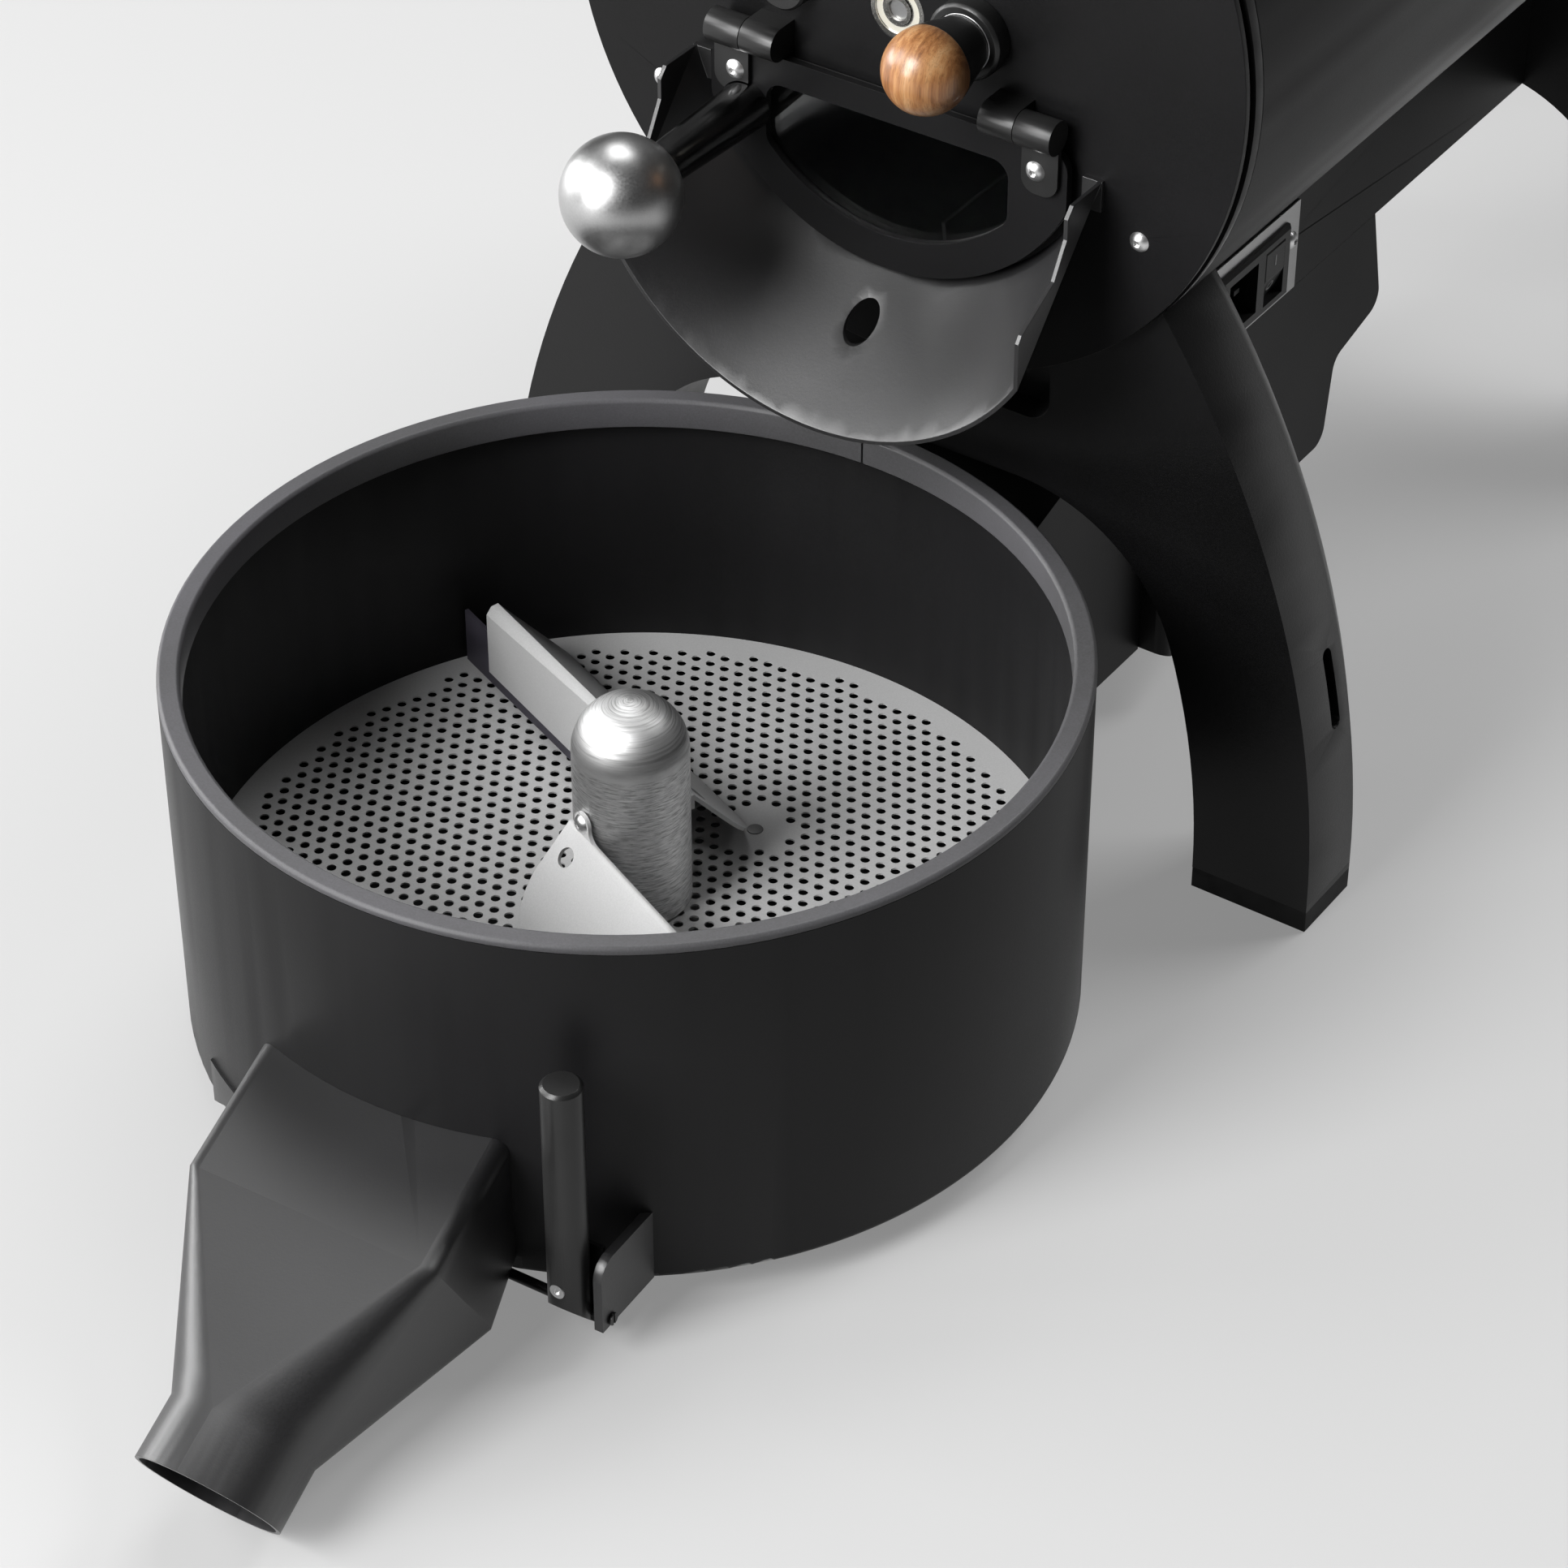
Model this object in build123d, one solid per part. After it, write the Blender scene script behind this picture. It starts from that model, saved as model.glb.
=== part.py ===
"""Home coffee bean roaster: a horizontal drum in a round housing on two arched legs, with a round
cooling tray in front of it.

Lengths are in millimetres.  The model is drawn with +Z up, +Y towards the back, and the tray's axis
at X = Y = 0 on the floor.  At the end everything is moved along Y, so that the origin is the middle
of the whole machine's footprint.
"""

import os
from math import atan2, cos, degrees, hypot, radians, sin, sqrt

from build123d import *

# ---------------------------------------------------------------- driving dimensions
RUNNING_GAP = 0.05  # radial gap of a shaft in its bore
FREE_GAP = 0.3  # gap between pieces that only pass each other
SHEET = 1.5  # thin folded sheet
CASE_WALL = 2.0  # steel wall of the casings

# cooling tray
TRAY_TURN = 3.0  # degrees, the way the tray happens to be stood
TRAY_RADIUS = 162.5
TRAY_TOP = 159.0
TRAY_WALL = 2.1
TRAY_BOTTOM = 12.6
TRAY_FLOOR_RISE = 8.4  # the floor sits this far up inside the skirt
TRAY_FLOOR = 1.5
TRAY_EDGE_ROUND = 3.0
RIM_WIDTH = 8.2
RIM_THICKNESS = 3.0
RIM_SKIRT = 12.0
RIM_BEVEL = 1.2
RIM_SEAM = 0.6
RIM_SEAM_ANGLE = 89.0
PLATE_TOP = 47.5
TRAY_FOOT_RADIUS = 9.0
TRAY_FOOT_COUNT = 4
TRAY_FOOT_ORBIT = TRAY_RADIUS - 44.5

# stirrer
HUB_RADIUS = 21.1
HUB_BOTTOM = PLATE_TOP + 2.0
HUB_SHOULDER = PLATE_TOP + 66.9
STIR_SHAFT_RADIUS = 4.0
BLADE_TURN = -22.2
BLADE_OFFSET = HUB_RADIUS + 1.5
BLADE_RIDGE = PLATE_TOP + 40.0  # at the hub
BLADE_FALL = 7.5  # how much lower the ridge is at the tip
BLADE_FOOT = PLATE_TOP + 5.5
BLADE_SPREAD = 32.0  # how far the wide face leans out
BLADE_CLEARANCE = 2.5  # between the wide face's foot and the sieve
BLADE_START = -6.0
BLADE_END = TRAY_RADIUS - 24.0
BLADE_ORBIT = TRAY_RADIUS - 5.5  # radius that the tips stay inside
BLADE_CORNER = 30.0
BLADE_HOLE_RADIUS = 3.75
BLADE_HOLE_DOWN = 10.0  # along the wide face, from the ridge
TAB_X = 3.0
TAB_WIDTH = 9.0
TAB_RISE = 9.0
TAB_FLARE = 5.0
TAB_THICKNESS = 1.5
WIPER_DEPTH = 4.2
WIPER_START = 26.0
WIPER_REACH = 5.0
STIR_SCREW_LENGTH = 10.0

# spout and its gate
SPOUT_WIDTH = 101.0
SPOUT_TOP = PLATE_TOP + 25.5
SPOUT_BOTTOM = 15.3
SPOUT_FOLD = (11.0, -TRAY_RADIUS - 34.3, 38.5)  # middle of the section where the taper starts
SPOUT_NECK = (26.0, -TRAY_RADIUS - 110.0, 26.0)
SPOUT_MOUTH = (31.0, -TRAY_RADIUS - 136.0, 23.0)
SPOUT_RAKE = 30.0  # degrees that the sections lean
SPOUT_FOLD_HEIGHT = 62.0
SPOUT_TUBE_RADIUS = 26.2
SPOUT_CORNER = 6.0
GATE_AXLE_Y = -TRAY_RADIUS + 3.3
GATE_AXLE_Z = 16.6
GATE_AXLE_RADIUS = 1.9
GATE_HEAD_RADIUS = 2.3
GATE_HEAD_DEPTH = 0.8
GATE_HALF_WIDTH = 40.0
GATE_LOW = 24.0
GATE_HIGH = PLATE_TOP + 21.0
GATE_LEG = 6.0
LUG_X = 90.0  # inner face of the right lug
LUG_LEFT_X = SPOUT_WIDTH / 2 + 2.5  # inner face of the left lug, tucked under the spout
LUG_THICKNESS = 3.4
LUG_FRONT = -TRAY_RADIUS - 2.0
LUG_TOP = 43.8
LUG_LEFT_TOP = 26.0
LUG_BOTTOM = 13.9
LUG_CORNER = 7.5
STRAP_OUTER = 88.6
STRAP_INNER = 62.0
STRAP_LOW = 12.0
STRAP_HIGH = 31.0
STRAP_RISE = 17.0  # how much its lower edge climbs towards the spout
STRAP_THICKNESS = 1.0
LEVER_X = 79.5
LEVER_Y = -TRAY_RADIUS - 0.8
LEVER_RADIUS = 7.25
LEVER_BOTTOM = 7.8
LEVER_SLANT = 1.13  # rise of its cut-off foot towards the front
LEVER_TOP = 118.0
LEVER_SCREW_RADIUS = 2.8
LEVER_SCREW_Z = 31.0
FLAP_PLATE_HALF = 9.0
FLAP_BOTTOM = 7.5
FLAP_TOP = 43.5

# drum housing
DRUM_AXIS_Z = 332.0
SHELL_RADIUS = 139.5
SHELL_LENGTH = 406.8
PLATE_FRONT = TRAY_RADIUS + 2.1
PLATE_THICKNESS = 2.8
PLATE_RADIUS = SHELL_RADIUS - 0.7
SHADOW_GAP = 2.6
FLANGE_THICKNESS = 4.8
FLANGE_BORE = SHELL_RADIUS - 31.5
SPIGOT_DEPTH = 5.0
SEAM = 0.4
PLATE_SCREW_ORBIT = SHELL_RADIUS - 23.0
PLATE_SCREW_COUNT = 6
BEARING_RADIUS = 11.0
BEARING_BORE = 4.0
BEARING_WIDTH = 7.0
BOSS_RADIUS = 15.0

# drum and its drive
DRUM_RADIUS = SHELL_RADIUS - 22.5
DRUM_FRONT = PLATE_FRONT + 13.4
DRUM_LENGTH = 262.0
DRUM_BACK = DRUM_FRONT + DRUM_LENGTH
DRUM_WALL = 1.5
SPIDER_Y = DRUM_FRONT + 84.0
SPIDER_THICKNESS = 4.0
VANE_COUNT = 4
VANE_DEPTH = 24.0
VANE_ANGLE = -84.0
BULKHEAD_FRONT = DRUM_BACK + 6.0
BULKHEAD_THICKNESS = 3.0
DRUM_PULLEY_RADIUS = 38.0
MOTOR_PULLEY_RADIUS = 14.0
PULLEY_Y = BULKHEAD_FRONT + BEARING_WIDTH + 3.0
PULLEY_WIDTH = 10.0
MOTOR_RISE = 61.5  # of its axis, from the lowest line of the shell
MOTOR_RADIUS = 24.0
MOTOR_PLATE_HALF = 40.0
MOTOR_PLATE = 3.0
MOTOR_LENGTH = 50.0
BELT_WIDTH = 8.0
BELT_THICKNESS = 2.0
HEATER_ORBIT = SHELL_RADIUS - 12.0
HEATER_RADIUS = 4.0
HEATER_ANGLES = (-125, -90, -55)

# exhaust
EXHAUST_RISE = 60.0
EXHAUST_RADIUS = 32.0
EXHAUST_REACH = 20.0
REAR_PLATE = 3.0

# door
DOOR_FRONT = PLATE_FRONT - 6.1
DOOR_THICKNESS = 3.0
DOOR_HALF_WIDTH = 74.75
DOOR_TOP = DRUM_AXIS_Z - 30.0
DOOR_ARC_Z = DRUM_AXIS_Z - 18.0
DOOR_ARC_RADIUS = 82.5
DOOR_CORNER = 8.0
WINDOW_HALF_WIDTH = 51.0
WINDOW_TOP = DRUM_AXIS_Z - 41.0
WINDOW_ARC_RADIUS = 69.0
WINDOW_CORNER = 7.0
MOUTH_HALF_WIDTH = 58.0
MOUTH_TOP = DRUM_AXIS_Z - 36.0
MOUTH_ARC_RADIUS = 72.5
GLASS_MARGIN = 3.0
HINGE_Y = PLATE_FRONT - 8.6
HINGE_Z = DRUM_AXIS_Z - 23.0
KNUCKLE_RADIUS = 6.4
BLOCK_INNER = 43.0
BLOCK_OUTER = 57.0
KNUCKLE_OUTER = 72.0
HINGE_PIN_RADIUS = 2.5
LEAF_THICKNESS = 2.0
LEAF_BOTTOM = DRUM_AXIS_Z - 48.0
LEAF_CORNER = 6.0
LEAF_SCREW_X = 63.0
LEAF_SCREW_Z = DRUM_AXIS_Z - 39.0
STEM_X = -59.2
STEM_Z = DRUM_AXIS_Z - 53.1
STEM_BASE_RADIUS = 9.7
STEM_END_RADIUS = 7.7
BALL_RADIUS = 21.9
BALL_REACH = 76.5

# bean chute under the door
CHUTE_HALF_WIDTH = 86.0
CHUTE_SHEET = 1.6
CHUTE_LIP_Y = PLATE_FRONT - 53.1
CHUTE_LIP_Z = DRUM_AXIS_Z - 43.5
CHUTE_LIP_RADIUS = 101.0
CHUTE_BACK_Z = DRUM_AXIS_Z - 13.3
CHUTE_BACK_RADIUS = 89.0
CHUTE_WING_TOP = DRUM_AXIS_Z - 39.0
CHUTE_WING_EDGE = (  # how far in front of the plate and under the drum's axis the wing's edge runs
    (20.0, 39.0),
    (23.6, 43.0),
    (23.6, 51.0),
    (30.9, 64.0),
    (51.1, 75.0),
    (54.1, 79.0),
)
CHUTE_HOLE_RADIUS = 6.0
CHUTE_FLANGE = 8.0

# sampling scoop
TRYER_X = 32.0
TRYER_Z = DRUM_AXIS_Z + 1.0
COLLAR_RADIUS = 14.5
COLLAR_LENGTH = 8.0
BUSH_RADIUS = 11.0
SCOOP_RADIUS = 8.5
SCOOP_WALL = 1.0
SCOOP_BACK = DRUM_FRONT + 67.0
FERRULE_FRONT = PLATE_FRONT - 26.6
FERRULE_CUP = 4.0
FERRULE_RADIUS = 15.2
KNOB_RADIUS = 15.6
KNOB_Y = PLATE_FRONT - 30.6

# temperature probe
PROBE_X = -44.7
PROBE_Z = DRUM_AXIS_Z
PROBE_RADIUS = 10.5
PROBE_LENGTH = 7.0
PROBE_SHEATH_RADIUS = 2.0
PROBE_BACK = DRUM_FRONT + 54.0

# bean hopper on the upper front
HOPPER_HALF_WIDTH = 45.0
HOPPER_DEPTH = 62.0
HOPPER_TOP = DRUM_AXIS_Z + 150.0
HOPPER_NECK_TOP = DRUM_AXIS_Z + 98.0
HOPPER_NECK_BOTTOM = DRUM_AXIS_Z + 68.0
THROAT_TOP = HOPPER_NECK_TOP - 6.0
HOPPER_NECK_HALF = 20.0
HOPPER_NECK_DEPTH = 34.0
LID_THICKNESS = 2.0
LID_HINGE_RADIUS = 3.0
LID_EAR_INNER = 20.0
LID_EAR_OUTER = 26.0
LID_PIN_RADIUS = 1.5
LID_KNOB_RADIUS = 7.0
SLIDE_KNOB_RADIUS = 8.0

# legs
ARCH_FRONT = PLATE_FRONT + PLATE_THICKNESS + SHADOW_GAP
ARCH_DEPTH = 46.0
ARCH_TOP = DRUM_AXIS_Z - 82.0
ARCH_HALF_SPAN = 184.5
ARCH_STRAIGHT = 12.0
ARCH_OUTER_RADIUS = 395.0
ARCH_INNER_HALF = 135.5
ARCH_INNER_STRAIGHT = 10.0
ARCH_INNER_RADIUS = 298.0
ARCH_SHOULDER_X = 119.5
ARCH_CROWN = 155.0
ARCH_BEVEL_SIDE = 8.0
ARCH_BEVEL_FACE = 13.0
PAD_HEIGHT = 9.0
NOTCH_HALF_WIDTH = 64.5
NOTCH_BOTTOM = DRUM_AXIS_Z - SHELL_RADIUS - 10.5
NOTCH_CORNER = 9.0
NOTCH_DEPTH = 12.0
SLOT_LOW = 79.0
SLOT_HIGH = 112.0
SLOT_WIDTH = 6.0
SLOT_DEPTH = 14.0

# chassis box and lower housing
BOX_HALF_WIDTH = 70.0
BOX_BOTTOM = 153.0
BOX_TOP = DRUM_AXIS_Z - 60.0
LOWER_FRONT = ARCH_FRONT + ARCH_DEPTH + 42.0
LOWER_BOTTOM = 23.0
LOWER_BEND = 8.0
LOWER_TOP_LENGTH = 151.0
LOWER_BACK = (  # its S-shaped back: how far behind its front, and how high
    (99.0, 61.0),
    (121.0, 61.0),
    (126.0, 98.0),
    (162.0, 107.0),
)
DOCK_HALF_WIDTH = 58.0
DOCK_TOP = BOX_BOTTOM - 19.0
DUCT_HALF_WIDTH = 40.0
DUCT_LOW = 27.0
DUCT_HIGH = 43.0
GRILLE_SLOTS = 9
GRILLE_PITCH = 10.0
GRILLE_WIDTH = 5.0

# cooling fan
FAN_Y = LOWER_FRONT + 60.0
FAN_RADIUS = 46.0
FAN_BOTTOM = 84.0
FAN_HEIGHT = 26.0
FAN_MOTOR_RADIUS = 20.0
FAN_SHAFT_RADIUS = 2.5
FAN_BLADES = 12

# mains inlet module
INLET_FRONT = ARCH_FRONT + 110.0
INLET_BACK = INLET_FRONT + 52.0
INLET_LOW = BOX_BOTTOM + 4.0
INLET_HIGH = BOX_BOTTOM + 35.0
INLET_PLATE = 1.0
INLET_FLANGE = 2.5
INLET_DEPTH = 20.0
INLET_BORDER = 3.5
INLET_SCREW_Z = BOX_BOTTOM + 24.7
SOCKET_LENGTH = 23.0
ROCKER_Y = INLET_BACK - 12.5
ROCKER_WIDTH = 14.0
ROCKER_RADIUS = 11.6
ROCKER_PIN_RADIUS = 1.5
ROCKER_SINK = 3.0
ROCKER_TILT = 10.0

# button head screws, M4
SCREW_HEAD_RADIUS = 3.8
SCREW_HEAD_HEIGHT = 2.2
SCREW_RADIUS = 2.0
SCREW_SOCKET = 2.5


# ---------------------------------------------------------------- small helpers
def block(x0, x1, y0, y1, z0, z1):
    """A box from its two corners."""
    size = Box(x1 - x0, y1 - y0, z1 - z0)
    return Pos((x0 + x1) / 2, (y0 + y1) / 2, (z0 + z1) / 2) * size


def rod_x(x0, x1, y, z, radius):
    """A round bar along X."""
    return Pos((x0 + x1) / 2, y, z) * Rot(0, 90, 0) * Cylinder(radius, x1 - x0)


def rod_y(y0, y1, x, z, radius):
    """A round bar along Y."""
    return Pos(x, (y0 + y1) / 2, z) * Rot(90, 0, 0) * Cylinder(radius, y1 - y0)


def rod_z(z0, z1, x, y, radius):
    """A round bar along Z."""
    return Pos(x, y, (z0 + z1) / 2) * Cylinder(radius, z1 - z0)


def cone_y(y0, y1, x, z, radius0, radius1):
    """A taper along Y, radius0 at y0 and radius1 at y1."""
    return Pos(x, (y0 + y1) / 2, z) * Rot(90, 0, 0) * Cone(radius1, radius0, y1 - y0)


def on_front(sketch, y):
    """Stand a sketch up in the XZ plane at y: its X stays X, its Y becomes Z."""
    return Plane(origin=(0, y, 0), x_dir=(1, 0, 0), z_dir=(0, -1, 0)) * sketch


def slab_y(sketch, y0, y1):
    """A sketch in the XZ plane, thickened from y0 to y1."""
    return extrude(on_front(sketch, y1), amount=y1 - y0)


def on_side(sketch, x):
    """Stand a sketch up in the YZ plane at x: its X becomes Y, its Y becomes Z."""
    return Plane(origin=(x, 0, 0), x_dir=(0, 1, 0), z_dir=(1, 0, 0)) * sketch


def slab_x(sketch, x0, x1):
    """A sketch in the YZ plane, thickened from x0 to x1."""
    return extrude(on_side(sketch, x0), amount=x1 - x0)


def outline(points):
    """A face inside straight lines."""
    return make_face(Polyline(*points, close=True))


def sheet_strip(points, thickness):
    """A face: a folded strip that follows the points, thickened on its left side."""
    normals = []
    for (ax, ay), (bx, by) in zip(points, points[1:]):
        length = sqrt((bx - ax) ** 2 + (by - ay) ** 2)
        normals.append(((ay - by) / length, (bx - ax) / length))
    firsts = [normals[0]] + normals
    seconds = normals + [normals[-1]]
    far_side = []
    for (px, py), (mx, my), (nx, ny) in zip(points, firsts, seconds):
        reach = thickness / (1 + mx * nx + my * ny)
        far_side.append((px + reach * (mx + nx), py + reach * (my + ny)))
    return outline(points + far_side[::-1])


def arc_bottomed(half_width, top, arc_z, arc_radius, corner=0.0):
    """A face with a flat top, upright sides and a round bottom, rounded at the top corners."""
    low = arc_z - arc_radius
    frame = Pos(0, (top + low) / 2) * Rectangle(2 * half_width, top - low)
    face = frame & Pos(0, arc_z) * Circle(arc_radius)
    if corner:
        face = fillet(face.vertices(), corner)
    return face


def around(count, start, radius):
    """Points on a circle, evenly spaced, the first at start degrees."""
    for i in range(count):
        angle = radians(start + 360 * i / count)
        yield radius * cos(angle), radius * sin(angle)


def in_tray(shape):
    """Turn a piece with the tray."""
    return Rot(0, 0, TRAY_TURN) * shape


def button_screw(place, shank):
    """A button head screw: its head stands on the origin towards +Z, its shank points to -Z."""
    dome_radius = (SCREW_HEAD_RADIUS**2 + SCREW_HEAD_HEIGHT**2) / (2 * SCREW_HEAD_HEIGHT)
    ball = Pos(0, 0, SCREW_HEAD_HEIGHT - dome_radius) * Sphere(dome_radius)
    head = ball & Pos(0, 0, SCREW_HEAD_HEIGHT / 2) * Cylinder(SCREW_HEAD_RADIUS, SCREW_HEAD_HEIGHT)
    socket = extrude(RegularPolygon(SCREW_SOCKET / 2 + 0.2, 6), amount=SCREW_HEAD_HEIGHT)
    head -= Pos(0, 0, SCREW_HEAD_HEIGHT * 0.45) * socket
    return place * (head + Pos(0, 0, -shank / 2) * Cylinder(SCREW_RADIUS, shank))


def screw_hole(place, shank):
    """The hole that a button screw's shank fills."""
    return place * Pos(0, 0, -shank / 2) * Cylinder(SCREW_RADIUS, shank)


def facing_front(x, y, z):
    """A place at (x, y, z) whose +Z looks to the front, along -Y."""
    return Pos(x, y, z) * Rot(90, 0, 0)


def facing_right(x, y, z):
    """A place at (x, y, z) whose +Z looks to the right, along +X."""
    return Pos(x, y, z) * Rot(0, 90, 0)


# ---------------------------------------------------------------- shared places
PLATE_BACK = PLATE_FRONT + PLATE_THICKNESS
FLANGE_FRONT = PLATE_BACK + SHADOW_GAP
FLANGE_BACK = FLANGE_FRONT + FLANGE_THICKNESS
SHELL_FRONT = FLANGE_BACK + SEAM
SHELL_BACK = SHELL_FRONT + SHELL_LENGTH
REAR_ARCH_FRONT = SHELL_BACK - ARCH_DEPTH
SHELL_BORE = SHELL_RADIUS - CASE_WALL
BULKHEAD_BACK = BULKHEAD_FRONT + BEARING_WIDTH
SHAFT_RADIUS = BEARING_BORE - RUNNING_GAP
HOLLOW_RADIUS = TRAY_RADIUS - TRAY_WALL
TRAY_FLOOR_LOW = TRAY_BOTTOM + TRAY_FLOOR_RISE
TRAY_FLOOR_HIGH = TRAY_FLOOR_LOW + TRAY_FLOOR
SIEVE_LOW = PLATE_TOP - SHEET
HOPPER_FRONT = PLATE_FRONT - HOPPER_DEPTH
EXHAUST_Z = DRUM_AXIS_Z + EXHAUST_RISE
REAR_FACE = SHELL_BACK + REAR_PLATE
MOTOR_Z = DRUM_AXIS_Z - SHELL_RADIUS + MOTOR_RISE
MOTOR_FRONT = PULLEY_Y + PULLEY_WIDTH + 3.0
LID_PIN_Z = HOPPER_TOP + LID_HINGE_RADIUS + 0.5
PLATE_SCREW_LENGTH = PLATE_THICKNESS + SHADOW_GAP + FLANGE_THICKNESS
plate_screw_places = []
for x, z in around(PLATE_SCREW_COUNT, -30, PLATE_SCREW_ORBIT):
    top_one = z > PLATE_SCREW_ORBIT - 1  # it holds the hopper's back wall as well
    seat = PLATE_FRONT - SHEET if top_one else PLATE_FRONT
    plate_screw_places.append(facing_front(x, seat, DRUM_AXIS_Z + z))
leaf_screw_places = [
    facing_front(side * LEAF_SCREW_X, DOOR_FRONT - LEAF_THICKNESS, LEAF_SCREW_Z) for side in (-1, 1)
]
LEAF_SCREW_LENGTH = LEAF_THICKNESS + DOOR_THICKNESS
inlet_screw_y = INLET_BACK + SCREW_HEAD_RADIUS + 0.5
inlet_screw_place = facing_right(BOX_HALF_WIDTH + INLET_PLATE, inlet_screw_y, INLET_SCREW_Z)

parts = {}


# ---------------------------------------------------------------- housing
def front_plate():
    """Round front plate with the drum's mouth, bearing boss and holes for what it carries."""
    plate = rod_y(PLATE_FRONT, PLATE_BACK, 0, DRUM_AXIS_Z, PLATE_RADIUS)
    plate += rod_y(PLATE_BACK, PLATE_FRONT + BEARING_WIDTH + 0.4, 0, DRUM_AXIS_Z, BOSS_RADIUS)
    plate -= rod_y(PLATE_FRONT - 1, FLANGE_BACK, 0, DRUM_AXIS_Z, BEARING_RADIUS)
    mouth = arc_bottomed(MOUTH_HALF_WIDTH, MOUTH_TOP, DOOR_ARC_Z, MOUTH_ARC_RADIUS, WINDOW_CORNER)
    plate -= slab_y(mouth, PLATE_FRONT - 1, PLATE_BACK + 1)
    plate -= rod_y(PLATE_FRONT - 1, PLATE_BACK + 1, TRYER_X, TRYER_Z, BUSH_RADIUS + FREE_GAP)
    plate -= rod_y(PLATE_FRONT - 1, PLATE_BACK + 1, PROBE_X, PROBE_Z, PROBE_SHEATH_RADIUS)
    half = HOPPER_NECK_HALF - SHEET
    low = HOPPER_NECK_BOTTOM + SHEET
    plate -= block(-half, half, PLATE_FRONT - 1, PLATE_BACK + 1, low, THROAT_TOP)
    for place in plate_screw_places:
        plate -= screw_hole(place, PLATE_SCREW_LENGTH)
    return plate


def front_flange():
    """Ring between plate and shell: a set-back spacer, the flange, and a spigot in the shell."""
    ring = rod_y(PLATE_BACK, FLANGE_FRONT, 0, DRUM_AXIS_Z, SHELL_RADIUS - 3.5)
    ring += rod_y(FLANGE_FRONT, FLANGE_BACK, 0, DRUM_AXIS_Z, SHELL_RADIUS)
    ring += rod_y(FLANGE_BACK, FLANGE_BACK + SPIGOT_DEPTH, 0, DRUM_AXIS_Z, SHELL_BORE)
    ring -= rod_y(PLATE_BACK, FLANGE_BACK, 0, DRUM_AXIS_Z, FLANGE_BORE)
    ring -= rod_y(FLANGE_BACK, FLANGE_BACK + SPIGOT_DEPTH, 0, DRUM_AXIS_Z, SHELL_BORE - 4)
    for place in plate_screw_places:
        ring -= screw_hole(place, PLATE_SCREW_LENGTH)
    return ring


def housing_shell():
    """Rolled steel tube around the drum."""
    tube = rod_y(SHELL_FRONT, SHELL_BACK, 0, DRUM_AXIS_Z, SHELL_RADIUS)
    return tube - rod_y(SHELL_FRONT, SHELL_BACK, 0, DRUM_AXIS_Z, SHELL_BORE)


def bulkhead():
    """Wall behind the drum that holds the rear bearing."""
    wall_back = BULKHEAD_FRONT + BULKHEAD_THICKNESS
    wall = rod_y(BULKHEAD_FRONT, wall_back, 0, DRUM_AXIS_Z, SHELL_BORE)
    wall += rod_y(BULKHEAD_FRONT, BULKHEAD_BACK, 0, DRUM_AXIS_Z, BOSS_RADIUS)
    wall -= rod_y(BULKHEAD_FRONT, BULKHEAD_BACK, 0, DRUM_AXIS_Z, BEARING_RADIUS)
    for x, z in around(6, 30, 62):
        wall -= rod_y(BULKHEAD_FRONT, wall_back, x, DRUM_AXIS_Z + z, 11)
    return wall


def rear_plate():
    """Rear cover with the exhaust tube, its fan's carrier, and vent slots for the motor."""
    cover = rod_y(SHELL_BACK, REAR_FACE, 0, DRUM_AXIS_Z, PLATE_RADIUS)
    tube_front = SHELL_BACK - 30
    tube_back = REAR_FACE + EXHAUST_REACH
    cover += rod_y(tube_front, tube_back, 0, EXHAUST_Z, EXHAUST_RADIUS)
    cover -= rod_y(tube_front, tube_back, 0, EXHAUST_Z, EXHAUST_RADIUS - CASE_WALL)
    carrier = rod_y(SHELL_BACK - 12, REAR_FACE, 0, EXHAUST_Z, 10)
    spoke = block(-EXHAUST_RADIUS + 1, EXHAUST_RADIUS - 1, SHELL_BACK - 6, REAR_FACE, -1.5, 1.5)
    for angle in (0, 60, 120):
        carrier += Pos(0, 0, EXHAUST_Z) * Rot(0, angle, 0) * spoke
    carrier -= rod_y(SHELL_BACK - 12, SHELL_BACK, 0, EXHAUST_Z, FAN_SHAFT_RADIUS)
    cover += carrier
    for row in range(5):
        z = DRUM_AXIS_Z - 95 + 12 * row
        slot = slab_y(SlotOverall(80, 5), SHELL_BACK, REAR_FACE)
        cover -= Pos(0, 0, z) * slot
    return cover


def bearing(front):
    """A shielded ball bearing seen from outside: outer race, shield and inner race."""
    back = front + BEARING_WIDTH
    races = []
    for outer, inner, sink in (
        (BEARING_RADIUS, BEARING_RADIUS - 1.8, 0.0),
        (BEARING_RADIUS - 1.8, BEARING_BORE + 1.9, 0.7),
        (BEARING_BORE + 1.6, BEARING_BORE, 0.2),
    ):
        ring = rod_y(front + sink, back - sink, 0, DRUM_AXIS_Z, outer)
        races.append(ring - rod_y(front, back, 0, DRUM_AXIS_Z, inner))
    return races


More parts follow.
